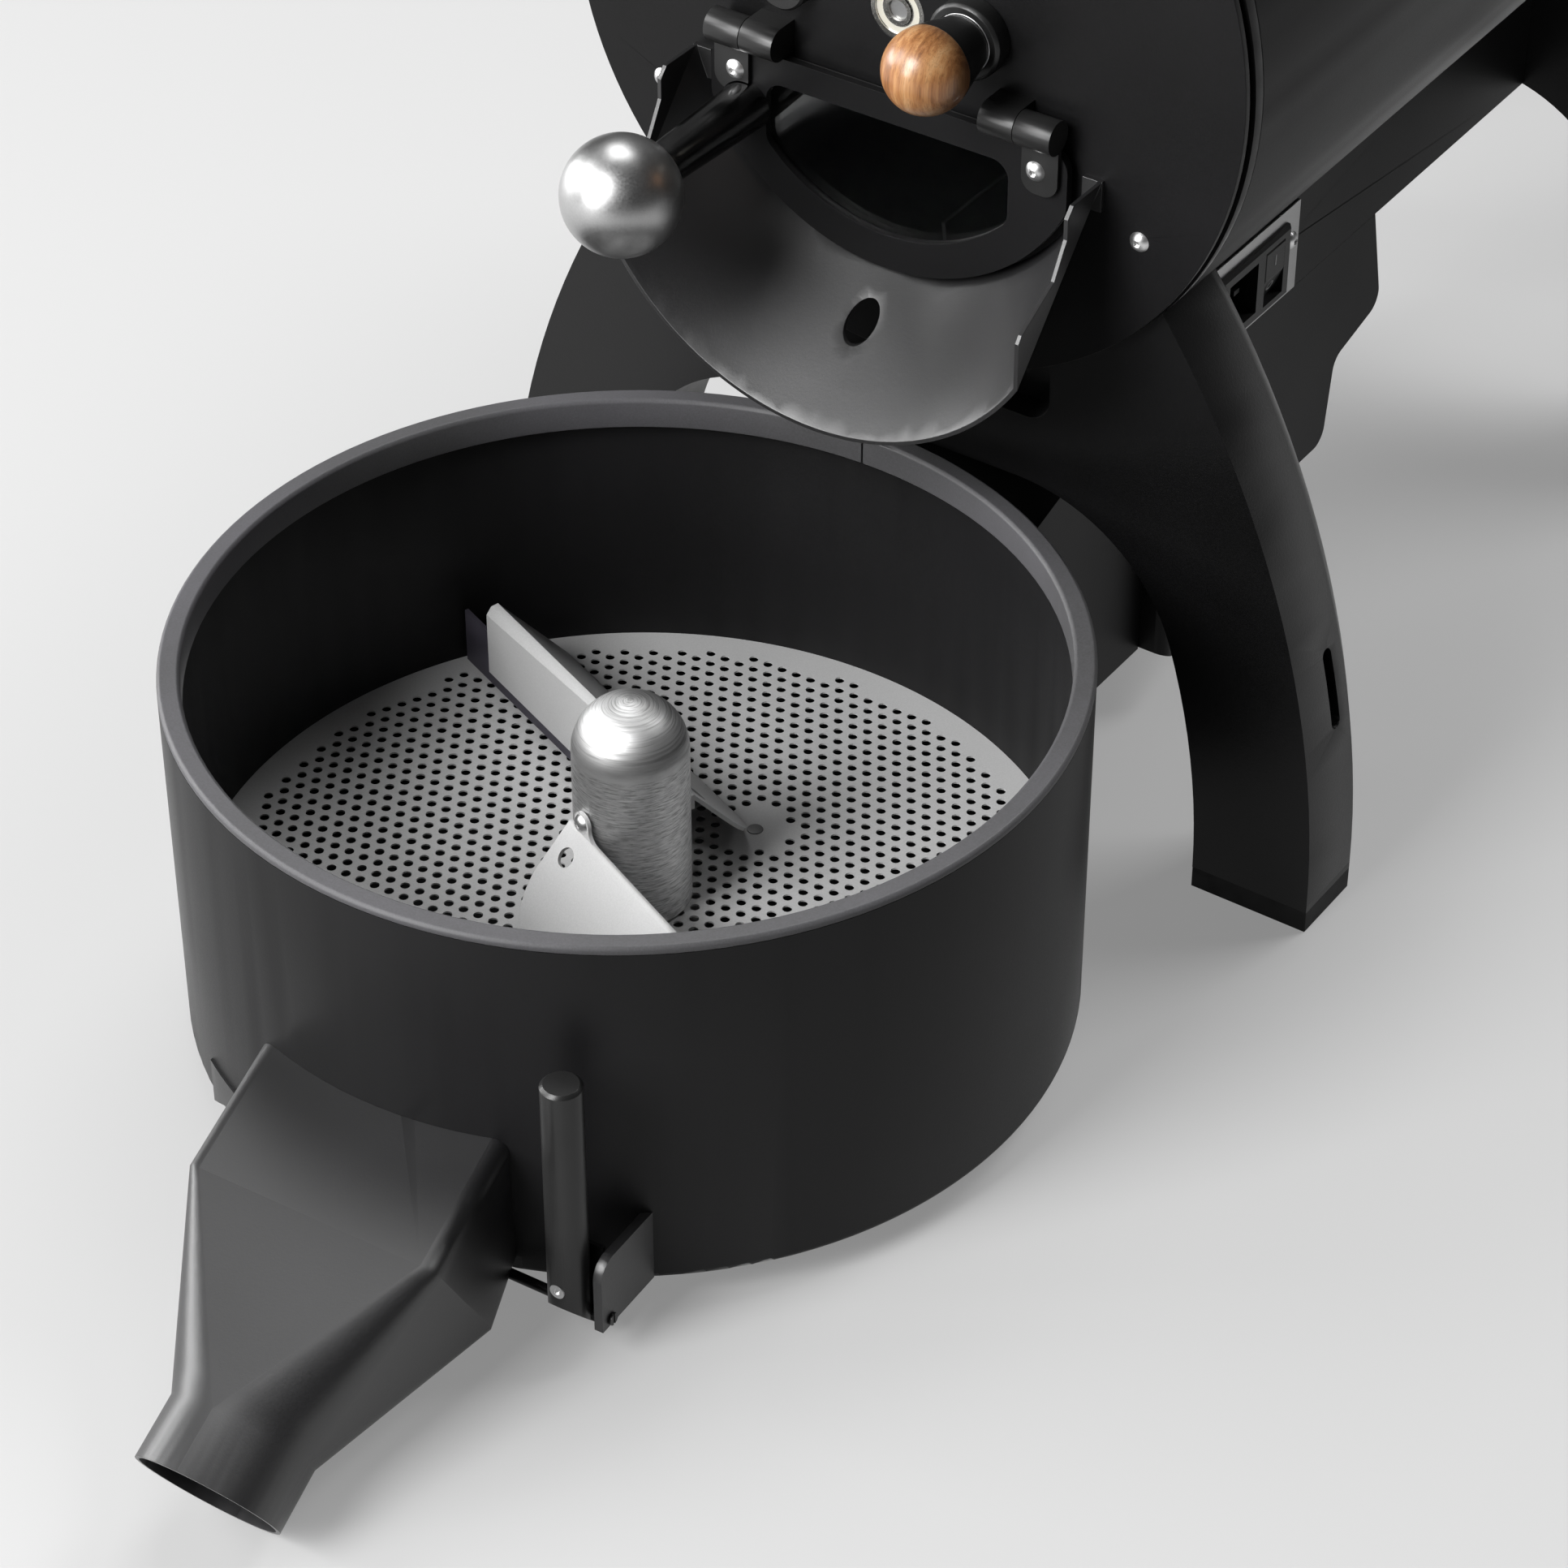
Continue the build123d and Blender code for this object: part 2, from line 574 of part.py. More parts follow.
# ---------------------------------------------------------------- legs and lower casings
def arch_outline():
    """Half of the arch seen from the front, mirrored: the outer curve, a flat foot and the opening."""
    centre_x = ARCH_HALF_SPAN - ARCH_OUTER_RADIUS
    top = ARCH_TOP
    top_x = centre_x + sqrt(ARCH_OUTER_RADIUS**2 - (top - ARCH_STRAIGHT) ** 2)
    foot = Line((0, 0), (ARCH_HALF_SPAN, 0))
    side = Line((ARCH_HALF_SPAN, 0), (ARCH_HALF_SPAN, ARCH_STRAIGHT))
    curve_mid_z = (ARCH_STRAIGHT + top) / 2
    curve_mid_x = centre_x + sqrt(ARCH_OUTER_RADIUS**2 - (curve_mid_z - ARCH_STRAIGHT) ** 2)
    curve = ThreePointArc((ARCH_HALF_SPAN, ARCH_STRAIGHT), (curve_mid_x, curve_mid_z), (top_x, top))
    lid = Line((top_x, top), (0, top))
    axis = Line((0, top), (0, 0))
    half = make_face(Curve() + [foot, side, curve, lid, axis])
    return half + mirror(half, Plane.YZ)


def arch_opening():
    """The opening under the arch: upright feet, a gentle curve, then a tighter one to a flat crown."""
    centre_x = ARCH_INNER_HALF - ARCH_INNER_RADIUS
    shoulder_z = ARCH_INNER_STRAIGHT + sqrt(ARCH_INNER_RADIUS**2 - (ARCH_SHOULDER_X - centre_x) ** 2)
    slope = atan2(shoulder_z - ARCH_INNER_STRAIGHT, ARCH_SHOULDER_X - centre_x)
    radius = (ARCH_CROWN - shoulder_z) / (1 - sin(slope))
    crown_x = ARCH_SHOULDER_X - radius * cos(slope)
    crown_z = shoulder_z - radius * sin(slope)
    mid_z = (ARCH_INNER_STRAIGHT + shoulder_z) / 2
    mid_x = centre_x + sqrt(ARCH_INNER_RADIUS**2 - (mid_z - ARCH_INNER_STRAIGHT) ** 2)
    turn = (slope + radians(90)) / 2
    bend_mid = (crown_x + radius * cos(turn), crown_z + radius * sin(turn))
    foot = Line((0, -1), (ARCH_INNER_HALF, -1))
    side = Line((ARCH_INNER_HALF, -1), (ARCH_INNER_HALF, ARCH_INNER_STRAIGHT))
    curve = ThreePointArc(
        (ARCH_INNER_HALF, ARCH_INNER_STRAIGHT), (mid_x, mid_z), (ARCH_SHOULDER_X, shoulder_z)
    )
    bend = ThreePointArc((ARCH_SHOULDER_X, shoulder_z), bend_mid, (crown_x, ARCH_CROWN))
    crown = Line((crown_x, ARCH_CROWN), (0, ARCH_CROWN))
    axis = Line((0, ARCH_CROWN), (0, -1))
    half = make_face(Curve() + [foot, side, curve, bend, crown, axis])
    return half + mirror(half, Plane.YZ)


def arch(front, notched):
    """A pair of legs in one arch: bevelled outside, saddled under the shell, slotted outside."""
    back = front + ARCH_DEPTH
    body = slab_y(arch_outline(), front, back)
    for face in (body.faces().sort_by(Axis.Y)[0], body.faces().sort_by(Axis.Y)[-1]):
        edges = [e for e in face.edges() if abs(e.center().X) > ARCH_INNER_HALF - 10]
        body = chamfer(edges, ARCH_BEVEL_SIDE, ARCH_BEVEL_FACE, reference=face)
    body -= slab_y(arch_opening(), front, back)
    body -= rod_y(front - 1, back + 1, 0, DRUM_AXIS_Z, SHELL_RADIUS)
    slot_mid = (SLOT_LOW + SLOT_HIGH) / 2
    slot = Rot(0, 0, 90) * SlotOverall(SLOT_HIGH - SLOT_LOW, SLOT_WIDTH)
    for side in (-1, 1):
        reach = side * (ARCH_HALF_SPAN - SLOT_DEPTH - 6)
        cut = slab_x(Pos(front + ARCH_DEPTH / 2, slot_mid) * slot, 0, SLOT_DEPTH + 10)
        body -= Pos(reach if side > 0 else reach - SLOT_DEPTH - 10, 0, 0) * cut
    if notched:
        height = DRUM_AXIS_Z - SHELL_RADIUS + 2 * NOTCH_CORNER - NOTCH_BOTTOM
        notch = RectangleRounded(2 * NOTCH_HALF_WIDTH, height, NOTCH_CORNER)
        body -= slab_y(Pos(0, NOTCH_BOTTOM + height / 2) * notch, front, front + NOTCH_DEPTH)
    return body


def split_feet(body):
    """The arch above its pads, and the pads."""
    low = block(-300, 300, -100, 900, -1, PAD_HEIGHT)
    return body - low, body & low


def chassis_box():
    """Open-topped sheet box under the shell, between the arches."""
    front = ARCH_FRONT + ARCH_DEPTH
    back = REAR_ARCH_FRONT
    box = block(-BOX_HALF_WIDTH, BOX_HALF_WIDTH, front, back, BOX_BOTTOM, BOX_TOP)
    half = BOX_HALF_WIDTH - CASE_WALL
    low = BOX_BOTTOM + CASE_WALL
    box -= block(-half, half, front + CASE_WALL, back - CASE_WALL, low, BOX_TOP)
    box -= rod_y(front, back, 0, DRUM_AXIS_Z, SHELL_RADIUS)
    body_front = INLET_FRONT + INLET_BORDER
    body_back = INLET_BACK - INLET_BORDER
    low, high = INLET_LOW + INLET_BORDER, INLET_HIGH - INLET_BORDER
    box -= block(half - 1, BOX_HALF_WIDTH, body_front, body_back, low, high)
    box -= screw_hole(inlet_screw_place, INLET_PLATE + CASE_WALL)
    return box


def lower_profile(inset):
    """Side view of the lower housing: rising floor and an S-shaped back."""
    top_back = LOWER_FRONT + LOWER_TOP_LENGTH
    points = [
        (LOWER_FRONT, BOX_BOTTOM),
        (LOWER_FRONT, LOWER_BOTTOM + 3),
        (LOWER_FRONT + 6, LOWER_BOTTOM),
    ]
    points += [(LOWER_FRONT + y, z) for y, z in LOWER_BACK]
    points.append((top_back, BOX_BOTTOM))
    face = outline(points)
    step = LOWER_FRONT + LOWER_BACK[1][0] - 9
    soft = [v for v in face.vertices() if v.X > step and v.Y < BOX_BOTTOM - 1]
    face = fillet(soft, LOWER_BEND)
    if inset:
        face = offset(face, -inset)
        open_top = Rectangle(LOWER_TOP_LENGTH - 2 * inset - 4, 2 * inset)
        face += Pos((LOWER_FRONT + top_back) / 2, BOX_BOTTOM) * open_top
    return face


def lower_housing():
    """Sheet casing of the cooling fan, open at the top under the chassis box."""
    body = slab_x(lower_profile(0), -BOX_HALF_WIDTH, BOX_HALF_WIDTH)
    upright = [
        e
        for e in body.edges().filter_by(Axis.Z)
        if e.center().Y < LOWER_FRONT + 1
    ]
    body = fillet(upright, 5)
    half = BOX_HALF_WIDTH - CASE_WALL
    body -= slab_x(lower_profile(CASE_WALL), -half, half)
    duct = DUCT_HALF_WIDTH
    body -= block(-duct, duct, LOWER_FRONT - 1, LOWER_FRONT + 12, DUCT_LOW + 3, DUCT_HIGH)
    step = LOWER_FRONT + LOWER_BACK[1][0]
    half_slot = GRILLE_WIDTH / 2
    for i in range(GRILLE_SLOTS):
        x = GRILLE_PITCH * (i - (GRILLE_SLOTS - 1) / 2)
        body -= block(x - half_slot, x + half_slot, step - 7, step + 15, 70, 88)
    return body & block(-300, 300, 0, 900, 0, BOX_BOTTOM)


def tray_dock():
    """Air duct between tray and fan housing, hollowed to the tray's round back."""
    front = sqrt(TRAY_RADIUS**2 - DOCK_HALF_WIDTH**2) - 8
    points = [
        (front, LOWER_BOTTOM + 2),
        (front, DOCK_TOP - 14),
        (TRAY_RADIUS + 26, DOCK_TOP),
        (LOWER_FRONT, BOX_BOTTOM),
        (LOWER_FRONT, LOWER_BOTTOM + 2),
    ]
    profile = outline(points)
    body = slab_x(profile, -DOCK_HALF_WIDTH, DOCK_HALF_WIDTH)
    half = DOCK_HALF_WIDTH - CASE_WALL
    seat_radius = TRAY_RADIUS + FREE_GAP
    hollow = slab_x(offset(profile, -CASE_WALL), -half, half)
    body -= hollow - rod_z(0, BOX_BOTTOM, 0, 0, seat_radius + CASE_WALL)
    body -= rod_z(0, BOX_BOTTOM, 0, 0, seat_radius)
    duct = DUCT_HALF_WIDTH
    return body - block(-duct, duct, front - 1, LOWER_FRONT, DUCT_LOW, DUCT_HIGH)


# ---------------------------------------------------------------- drum, drive and heat
def drum_shell():
    """Roasting drum: tube, rear wall with air holes and hub, and a recessed front spider."""
    tube = rod_y(DRUM_FRONT, DRUM_BACK, 0, DRUM_AXIS_Z, DRUM_RADIUS)
    bore = DRUM_RADIUS - DRUM_WALL
    tube -= rod_y(DRUM_FRONT, DRUM_BACK - 3, 0, DRUM_AXIS_Z, bore)
    for x, z in around(8, 0, 60):
        tube -= rod_y(DRUM_BACK - 3, DRUM_BACK, x, DRUM_AXIS_Z + z, 9)
    spider_back = SPIDER_Y + SPIDER_THICKNESS
    spider = rod_y(SPIDER_Y, spider_back, 0, DRUM_AXIS_Z, 16)
    arm = block(0, bore + 0.5, SPIDER_Y, spider_back, -9, 9)
    for angle in (90, 210, 330):
        spider += Pos(0, 0, DRUM_AXIS_Z) * Rot(0, angle, 0) * arm
    tube += spider
    return tube - rod_y(SPIDER_Y, DRUM_BACK, 0, DRUM_AXIS_Z, SHAFT_RADIUS)


def drum_vanes():
    """Lifting vanes along the drum's inside, stopped at the spider."""
    vanes = []
    bore = DRUM_RADIUS - DRUM_WALL
    for x, z in around(VANE_COUNT, VANE_ANGLE, 1.0):
        angle = degrees(atan2(z, x))
        for y0, y1 in (
            (DRUM_FRONT + 6, SPIDER_Y - 1),
            (SPIDER_Y + SPIDER_THICKNESS + 1, DRUM_BACK - 4),
        ):
            vane = block(bore - VANE_DEPTH, bore - 0.02, y0, y1, -SHEET / 2, SHEET / 2)
            vane += block(bore - 2, bore - 0.5, y0, y1, -SHEET / 2, 12)
            vane &= rod_y(y0, y1, 0, 0, bore)
            vanes.append(Pos(0, 0, DRUM_AXIS_Z) * Rot(0, -angle, 0) * vane)
    return vanes


def drum_shaft():
    """Drum shaft from the front bearing to the pulley."""
    return rod_y(PLATE_FRONT + 1.7, PULLEY_Y + PULLEY_WIDTH + 2, 0, DRUM_AXIS_Z, SHAFT_RADIUS)


def pulley(x, z, radius, bore):
    """A flanged belt pulley."""
    back = PULLEY_Y + PULLEY_WIDTH
    wheel = rod_y(PULLEY_Y, back, x, z, radius)
    for y0 in (PULLEY_Y - 0.5, back - 0.5):
        wheel += rod_y(y0, y0 + 1, x, z, radius + 1.5)
    return wheel - rod_y(PULLEY_Y - 1, back + 1, x, z, bore)


def belt_loop(extra):
    """Outline around both pulleys at a distance."""
    upper = Pos(0, DRUM_AXIS_Z) * Circle(DRUM_PULLEY_RADIUS + extra)
    lower = Pos(0, MOTOR_Z) * Circle(MOTOR_PULLEY_RADIUS + extra)
    return make_hull(upper.edges() + lower.edges())


def drive_belt():
    """Flat belt around the drum's and the motor's pulleys."""
    y0 = PULLEY_Y + (PULLEY_WIDTH - BELT_WIDTH) / 2
    y1 = y0 + BELT_WIDTH
    return slab_y(belt_loop(FREE_GAP + BELT_THICKNESS), y0, y1) - slab_y(belt_loop(FREE_GAP), y0, y1)


def drum_motor():
    """Gearmotor on a bracket that stands off the bulkhead on four posts."""
    half, radius = MOTOR_PLATE_HALF, MOTOR_RADIUS
    back = MOTOR_FRONT + MOTOR_PLATE
    motor = block(-half, half, MOTOR_FRONT, back, MOTOR_Z - radius, MOTOR_Z + radius)
    motor += rod_y(back, back + MOTOR_LENGTH, 0, MOTOR_Z, radius)
    post = BULKHEAD_FRONT + BULKHEAD_THICKNESS
    for side in (-1, 1):
        motor += rod_y(post, MOTOR_FRONT, side * (half - 6), MOTOR_Z + 14, 3)
        motor += rod_y(post, MOTOR_FRONT, side * (half - 10), MOTOR_Z - 18, 3)
    return motor - rod_y(MOTOR_FRONT, MOTOR_FRONT + 22, 0, MOTOR_Z, 3 + RUNNING_GAP)


def motor_pulley():
    """Small pulley and the motor's output shaft."""
    shaft = rod_y(PULLEY_Y, MOTOR_FRONT + 20, 0, MOTOR_Z, 3)
    return pulley(0, MOTOR_Z, MOTOR_PULLEY_RADIUS, 1) + shaft


def heating_elements():
    """Straight heating rods under the drum, from the flange to the bulkhead."""
    rods = []
    for angle in HEATER_ANGLES:
        x = HEATER_ORBIT * cos(radians(angle))
        z = DRUM_AXIS_Z + HEATER_ORBIT * sin(radians(angle))
        rods.append(rod_y(FLANGE_BACK, BULKHEAD_FRONT, x, z, HEATER_RADIUS))
    return rods


def bladed_wheel(radius, hub_radius, height, count, sweep):
    """A fan wheel along +Z: a hub, a backing disc and upright blades."""
    wheel = Pos(0, 0, height / 2) * Cylinder(hub_radius, height)
    wheel += Pos(0, 0, height - 1) * Cylinder(radius, 2)
    blade = block(hub_radius * 0.9, radius - 1, -0.8, 0.8, 0, height)
    for i in range(count):
        wheel += Rot(0, 0, 360 * i / count) * Pos(0, sweep, 0) * blade
    return wheel


def exhaust_fan():
    """Exhaust fan wheel on its stub shaft."""
    wheel = bladed_wheel(EXHAUST_RADIUS - CASE_WALL - 1.5, 9, 12, 9, 3)
    wheel += Pos(0, 0, 16) * Cylinder(FAN_SHAFT_RADIUS - RUNNING_GAP, 12)
    return Pos(0, SHELL_BACK - 26, EXHAUST_Z) * Rot(-90, 0, 0) * wheel


def cooling_fan():
    """Cooling fan wheel under its motor."""
    wheel = bladed_wheel(FAN_RADIUS, 14, FAN_HEIGHT, FAN_BLADES, 6)
    wheel += Pos(0, 0, FAN_HEIGHT + 7) * Cylinder(FAN_SHAFT_RADIUS - RUNNING_GAP, 16)
    return Pos(0, FAN_Y, FAN_BOTTOM) * wheel


def fan_motor():
    """Cooling fan motor under the chassis box."""
    low = FAN_BOTTOM + FAN_HEIGHT + 2
    motor = rod_z(low, BOX_BOTTOM, 0, FAN_Y, FAN_MOTOR_RADIUS)
    return motor - rod_z(low, low + 16, 0, FAN_Y, FAN_SHAFT_RADIUS)


# ---------------------------------------------------------------- mains inlet
def inlet_backplate():
    """Bright plate under the inlet's flange."""
    x0, x1 = BOX_HALF_WIDTH, BOX_HALF_WIDTH + INLET_PLATE
    plate = block(x0, x1, INLET_FRONT - 3, INLET_BACK + 10, BOX_BOTTOM + 1, INLET_HIGH + 5.5)
    low, high = INLET_LOW + INLET_BORDER, INLET_HIGH - INLET_BORDER
    plate -= block(x0, x1, INLET_FRONT + INLET_BORDER, INLET_BACK - INLET_BORDER, low, high)
    return plate - screw_hole(inlet_screw_place, INLET_PLATE + CASE_WALL)


def power_inlet():
    """Appliance inlet with three blades and the switch's frame, in one moulding."""
    face = BOX_HALF_WIDTH + INLET_PLATE + INLET_FLANGE
    low, high = INLET_LOW + INLET_BORDER, INLET_HIGH - INLET_BORDER
    front, back = INLET_FRONT + INLET_BORDER, INLET_BACK - INLET_BORDER
    flange = block(face - INLET_FLANGE, face, INLET_FRONT, INLET_BACK, INLET_LOW, INLET_HIGH)
    flange = chamfer(flange.faces().sort_by(Axis.X)[-1].edges(), 1.2)
    body = flange + block(face - INLET_DEPTH, face - INLET_FLANGE, front, back, low, high)
    socket_back = front + SOCKET_LENGTH
    floor = face - INLET_DEPTH + 2
    body -= block(floor, face, front + 1.5, socket_back, low + 1, high - 1)
    middle = (INLET_LOW + INLET_HIGH) / 2
    for y, z in ((front + 8, -7), (front + 8, 7), (front + 16, 0)):
        body += block(floor, face - 5, y - 2, y + 2, middle + z - 1, middle + z + 1)
    half = ROCKER_WIDTH / 2 + FREE_GAP
    reach = ROCKER_RADIUS + FREE_GAP
    pivot = face - ROCKER_SINK
    body -= block(pivot - 1, face, ROCKER_Y - half, ROCKER_Y + half, middle - reach, middle + reach)
    body -= rod_y(ROCKER_Y - half, ROCKER_Y + half, pivot, middle, reach)
    body += rod_y(ROCKER_Y - half, ROCKER_Y + half, pivot, middle, ROCKER_PIN_RADIUS)
    return body


def rocker():
    """Rocker switch: a drum sector with two faces that meet over its pivot."""
    middle = (INLET_LOW + INLET_HIGH) / 2
    pivot = BOX_HALF_WIDTH + INLET_PLATE + INLET_FLANGE - ROCKER_SINK
    y0, y1 = ROCKER_Y - ROCKER_WIDTH / 2, ROCKER_Y + ROCKER_WIDTH / 2
    body = rod_y(y0, y1, 0, 0, ROCKER_RADIUS)
    for side in (-1, 1):
        half_space = Pos(10 + 3.2, 0, 0) * Box(20, 40, 60)
        body -= Pos(0, (y0 + y1) / 2, 0) * Rot(0, side * ROCKER_TILT, 0) * half_space
    body -= rod_y(y0, y1, 0, 0, ROCKER_PIN_RADIUS + RUNNING_GAP)
    return Pos(pivot, 0, middle) * Rot(0, ROCKER_TILT, 0) * body


# ---------------------------------------------------------------- door
def door_plate():
    """Discharge door with its window."""
    face = arc_bottomed(DOOR_HALF_WIDTH, DOOR_TOP, DOOR_ARC_Z, DOOR_ARC_RADIUS, DOOR_CORNER)
    window = arc_bottomed(
        WINDOW_HALF_WIDTH, WINDOW_TOP, DOOR_ARC_Z, WINDOW_ARC_RADIUS, WINDOW_CORNER
    )
    plate = slab_y(face - window, DOOR_FRONT, DOOR_FRONT + DOOR_THICKNESS)
    for place in leaf_screw_places:
        plate -= screw_hole(place, LEAF_SCREW_LENGTH)
    return plate


def door_gasket():
    """Soft seal behind the door's edge."""
    inset = 1.5
    face = arc_bottomed(
        DOOR_HALF_WIDTH - inset, DOOR_TOP - inset, DOOR_ARC_Z, DOOR_ARC_RADIUS - inset, DOOR_CORNER
    )
    hole = arc_bottomed(MOUTH_HALF_WIDTH, MOUTH_TOP, DOOR_ARC_Z, MOUTH_ARC_RADIUS, WINDOW_CORNER)
    return slab_y(face - hole, DOOR_FRONT + DOOR_THICKNESS, PLATE_FRONT - FREE_GAP)


def door_glass():
    """Window pane behind the door plate."""
    margin = GLASS_MARGIN
    pane = arc_bottomed(
        WINDOW_HALF_WIDTH + margin,
        WINDOW_TOP + margin,
        DOOR_ARC_Z,
        WINDOW_ARC_RADIUS + margin,
        WINDOW_CORNER,
    )
    return slab_y(pane, DOOR_FRONT + DOOR_THICKNESS, PLATE_FRONT - 2 * FREE_GAP)


def hinge_blocks():
    """Fixed hinge halves on the plate, with the pins that the door's knuckles turn on."""
    blocks = []
    for side in (-1, 1):
        x0, x1 = sorted((side * BLOCK_INNER, side * BLOCK_OUTER))
        body = rod_x(x0, x1, HINGE_Y, HINGE_Z, KNUCKLE_RADIUS)
        low, high = HINGE_Z - KNUCKLE_RADIUS, HINGE_Z + KNUCKLE_RADIUS
        body += block(x0, x1, HINGE_Y, PLATE_FRONT, low, high)
        pin0, pin1 = sorted((side * BLOCK_OUTER, side * (KNUCKLE_OUTER - 1)))
        body += rod_x(pin0, pin1, HINGE_Y, HINGE_Z, HINGE_PIN_RADIUS)
        blocks.append(body)
    return blocks


def door_leaves():
    """Door knuckles and the leaves that are screwed to the door."""
    leaves = []
    back = DOOR_FRONT
    front = DOOR_FRONT - LEAF_THICKNESS
    for i, side in enumerate((-1, 1)):
        x0, x1 = sorted((side * (BLOCK_OUTER + FREE_GAP), side * KNUCKLE_OUTER))
        body = rod_x(x0, x1, HINGE_Y, HINGE_Z, KNUCKLE_RADIUS)
        leaf = block(x0, x1, front, back, LEAF_BOTTOM, HINGE_Z)
        corners = leaf.edges().filter_by(Axis.Y).sort_by(Axis.Z)[:2]
        body += fillet(corners, LEAF_CORNER)
        pin0, pin1 = sorted((side * BLOCK_OUTER, side * (KNUCKLE_OUTER - 0.7)))
        body -= rod_x(pin0, pin1, HINGE_Y, HINGE_Z, HINGE_PIN_RADIUS + RUNNING_GAP)
        body -= rod_y(front, back, STEM_X, STEM_Z, STEM_BASE_RADIUS + FREE_GAP)
        leaves.append(body - screw_hole(leaf_screw_places[i], LEAF_SCREW_LENGTH))
    return leaves


def ball_stem():
    """Stem of the door handle: a slight taper with a neck ring at the ball."""
    end = DOOR_FRONT - BALL_REACH + BALL_RADIUS - 2
    stem = cone_y(end, DOOR_FRONT, STEM_X, STEM_Z, STEM_END_RADIUS, STEM_BASE_RADIUS)
    stem += rod_y(end + 1, end + 4, STEM_X, STEM_Z, STEM_END_RADIUS + 1.2)
    stem -= Pos(STEM_X, DOOR_FRONT - BALL_REACH, STEM_Z) * Sphere(BALL_RADIUS)
    return stem


def ball():
    """Ball of the door handle."""
    return Pos(STEM_X, DOOR_FRONT - BALL_REACH, STEM_Z) * Sphere(BALL_RADIUS)


# ---------------------------------------------------------------- chute
def chute_section(half_width, arc_z, arc_radius, y):
    """Cross-section of the chute's trough at y: round bottom, upright sides, flat top."""
    end_z = arc_z - sqrt(arc_radius**2 - half_width**2)
    top = DRUM_AXIS_Z
    trough = ThreePointArc((-half_width, end_z), (0, arc_z - arc_radius), (half_width, end_z))
    right = Line((half_width, end_z), (half_width, top))
    lid = Line((half_width, top), (-half_width, top))
    left = Line((-half_width, top), (-half_width, end_z))
    return on_front(make_face(Curve() + [trough, right, lid, left]), y)


def chute_loft(shrink):
    """Solid between the plate's and the lip's sections, smaller by shrink all round."""
    overrun = shrink * 0.01
    back = chute_section(
        CHUTE_HALF_WIDTH - shrink, CHUTE_BACK_Z, CHUTE_BACK_RADIUS - shrink, PLATE_FRONT + overrun
    )
    lip = chute_section(
        CHUTE_HALF_WIDTH - shrink, CHUTE_LIP_Z, CHUTE_LIP_RADIUS - shrink, CHUTE_LIP_Y - overrun
    )
    return loft([back, lip], ruled=True)


def chute():
    """Folded trough that leads beans from the door to the tray, with wings and an access hole."""
    trough = chute_loft(0) - chute_loft(CHUTE_SHEET)
    edge = [(PLATE_FRONT - out, DRUM_AXIS_Z - down) for out, down in CHUTE_WING_EDGE]
    above = DRUM_AXIS_Z + 1
    wing_top = [(PLATE_FRONT + 1, CHUTE_WING_TOP)] + edge
    wing_top += [(edge[-1][0], above), (PLATE_FRONT + 1, above)]
    trough -= slab_x(outline(wing_top), -CHUTE_HALF_WIDTH - 1, CHUTE_HALF_WIDTH + 1)
    hole_z = DRUM_AXIS_Z - PLATE_SCREW_ORBIT
    trough -= rod_y(CHUTE_LIP_Y, PLATE_FRONT - 1, 0, hole_z, CHUTE_HOLE_RADIUS)
    for side in (-1, 1):
        x0, x1 = sorted((side * (CHUTE_HALF_WIDTH - CHUTE_FLANGE), side * CHUTE_HALF_WIDTH))
        low = CHUTE_WING_TOP - 12
        trough += block(x0, x1, PLATE_FRONT - CHUTE_SHEET, PLATE_FRONT, low, CHUTE_WING_TOP)
    return trough


# ---------------------------------------------------------------- sampling scoop and probe
def tryer_collar():
    """Guide collar on the plate."""
    front = PLATE_FRONT - COLLAR_LENGTH
    collar = rod_y(front, PLATE_FRONT, TRYER_X, TRYER_Z, COLLAR_RADIUS)
    collar = chamfer(collar.faces().sort_by(Axis.Y)[0].edges(), 1.2)
    return collar - rod_y(front, PLATE_FRONT, TRYER_X, TRYER_Z, BUSH_RADIUS + RUNNING_GAP)


def tryer_bush():
    """Sleeve that turns in the collar and lets the scoop slide."""
    front = PLATE_FRONT - COLLAR_LENGTH
    sleeve = rod_y(front, PLATE_BACK, TRYER_X, TRYER_Z, BUSH_RADIUS)
    return sleeve - rod_y(front, PLATE_BACK, TRYER_X, TRYER_Z, SCOOP_RADIUS + RUNNING_GAP)


def tryer_scoop():
    """Half-open tube that picks beans out of the turning drum."""
    tube = rod_y(FERRULE_FRONT + FERRULE_CUP, SCOOP_BACK, TRYER_X, TRYER_Z, SCOOP_RADIUS)
    open_from = PLATE_BACK + 10
    tube -= rod_y(open_from, SCOOP_BACK - 2, TRYER_X, TRYER_Z, SCOOP_RADIUS - SCOOP_WALL)
    half = SCOOP_RADIUS + 1
    tube -= block(TRYER_X - half, TRYER_X + half, open_from, SCOOP_BACK - 2, TRYER_Z, TRYER_Z + half)
    return tube


def tryer_ferrule():
    """Flared metal ferrule between scoop and knob."""
    front = PLATE_FRONT - COLLAR_LENGTH - 0.5
    flare = cone_y(FERRULE_FRONT, front, TRYER_X, TRYER_Z, FERRULE_RADIUS, SCOOP_RADIUS + 2.2)
    return flare - rod_y(FERRULE_FRONT + FERRULE_CUP, front, TRYER_X, TRYER_Z, SCOOP_RADIUS)


def tryer_knob():
    """Turned wooden knob."""
    knob = Pos(TRYER_X, KNOB_Y, TRYER_Z) * Sphere(KNOB_RADIUS)
    half = KNOB_RADIUS + 1
    return knob & block(
        TRYER_X - half, TRYER_X + half, KNOB_Y - half, FERRULE_FRONT, TRYER_Z - half, TRYER_Z + half
    )


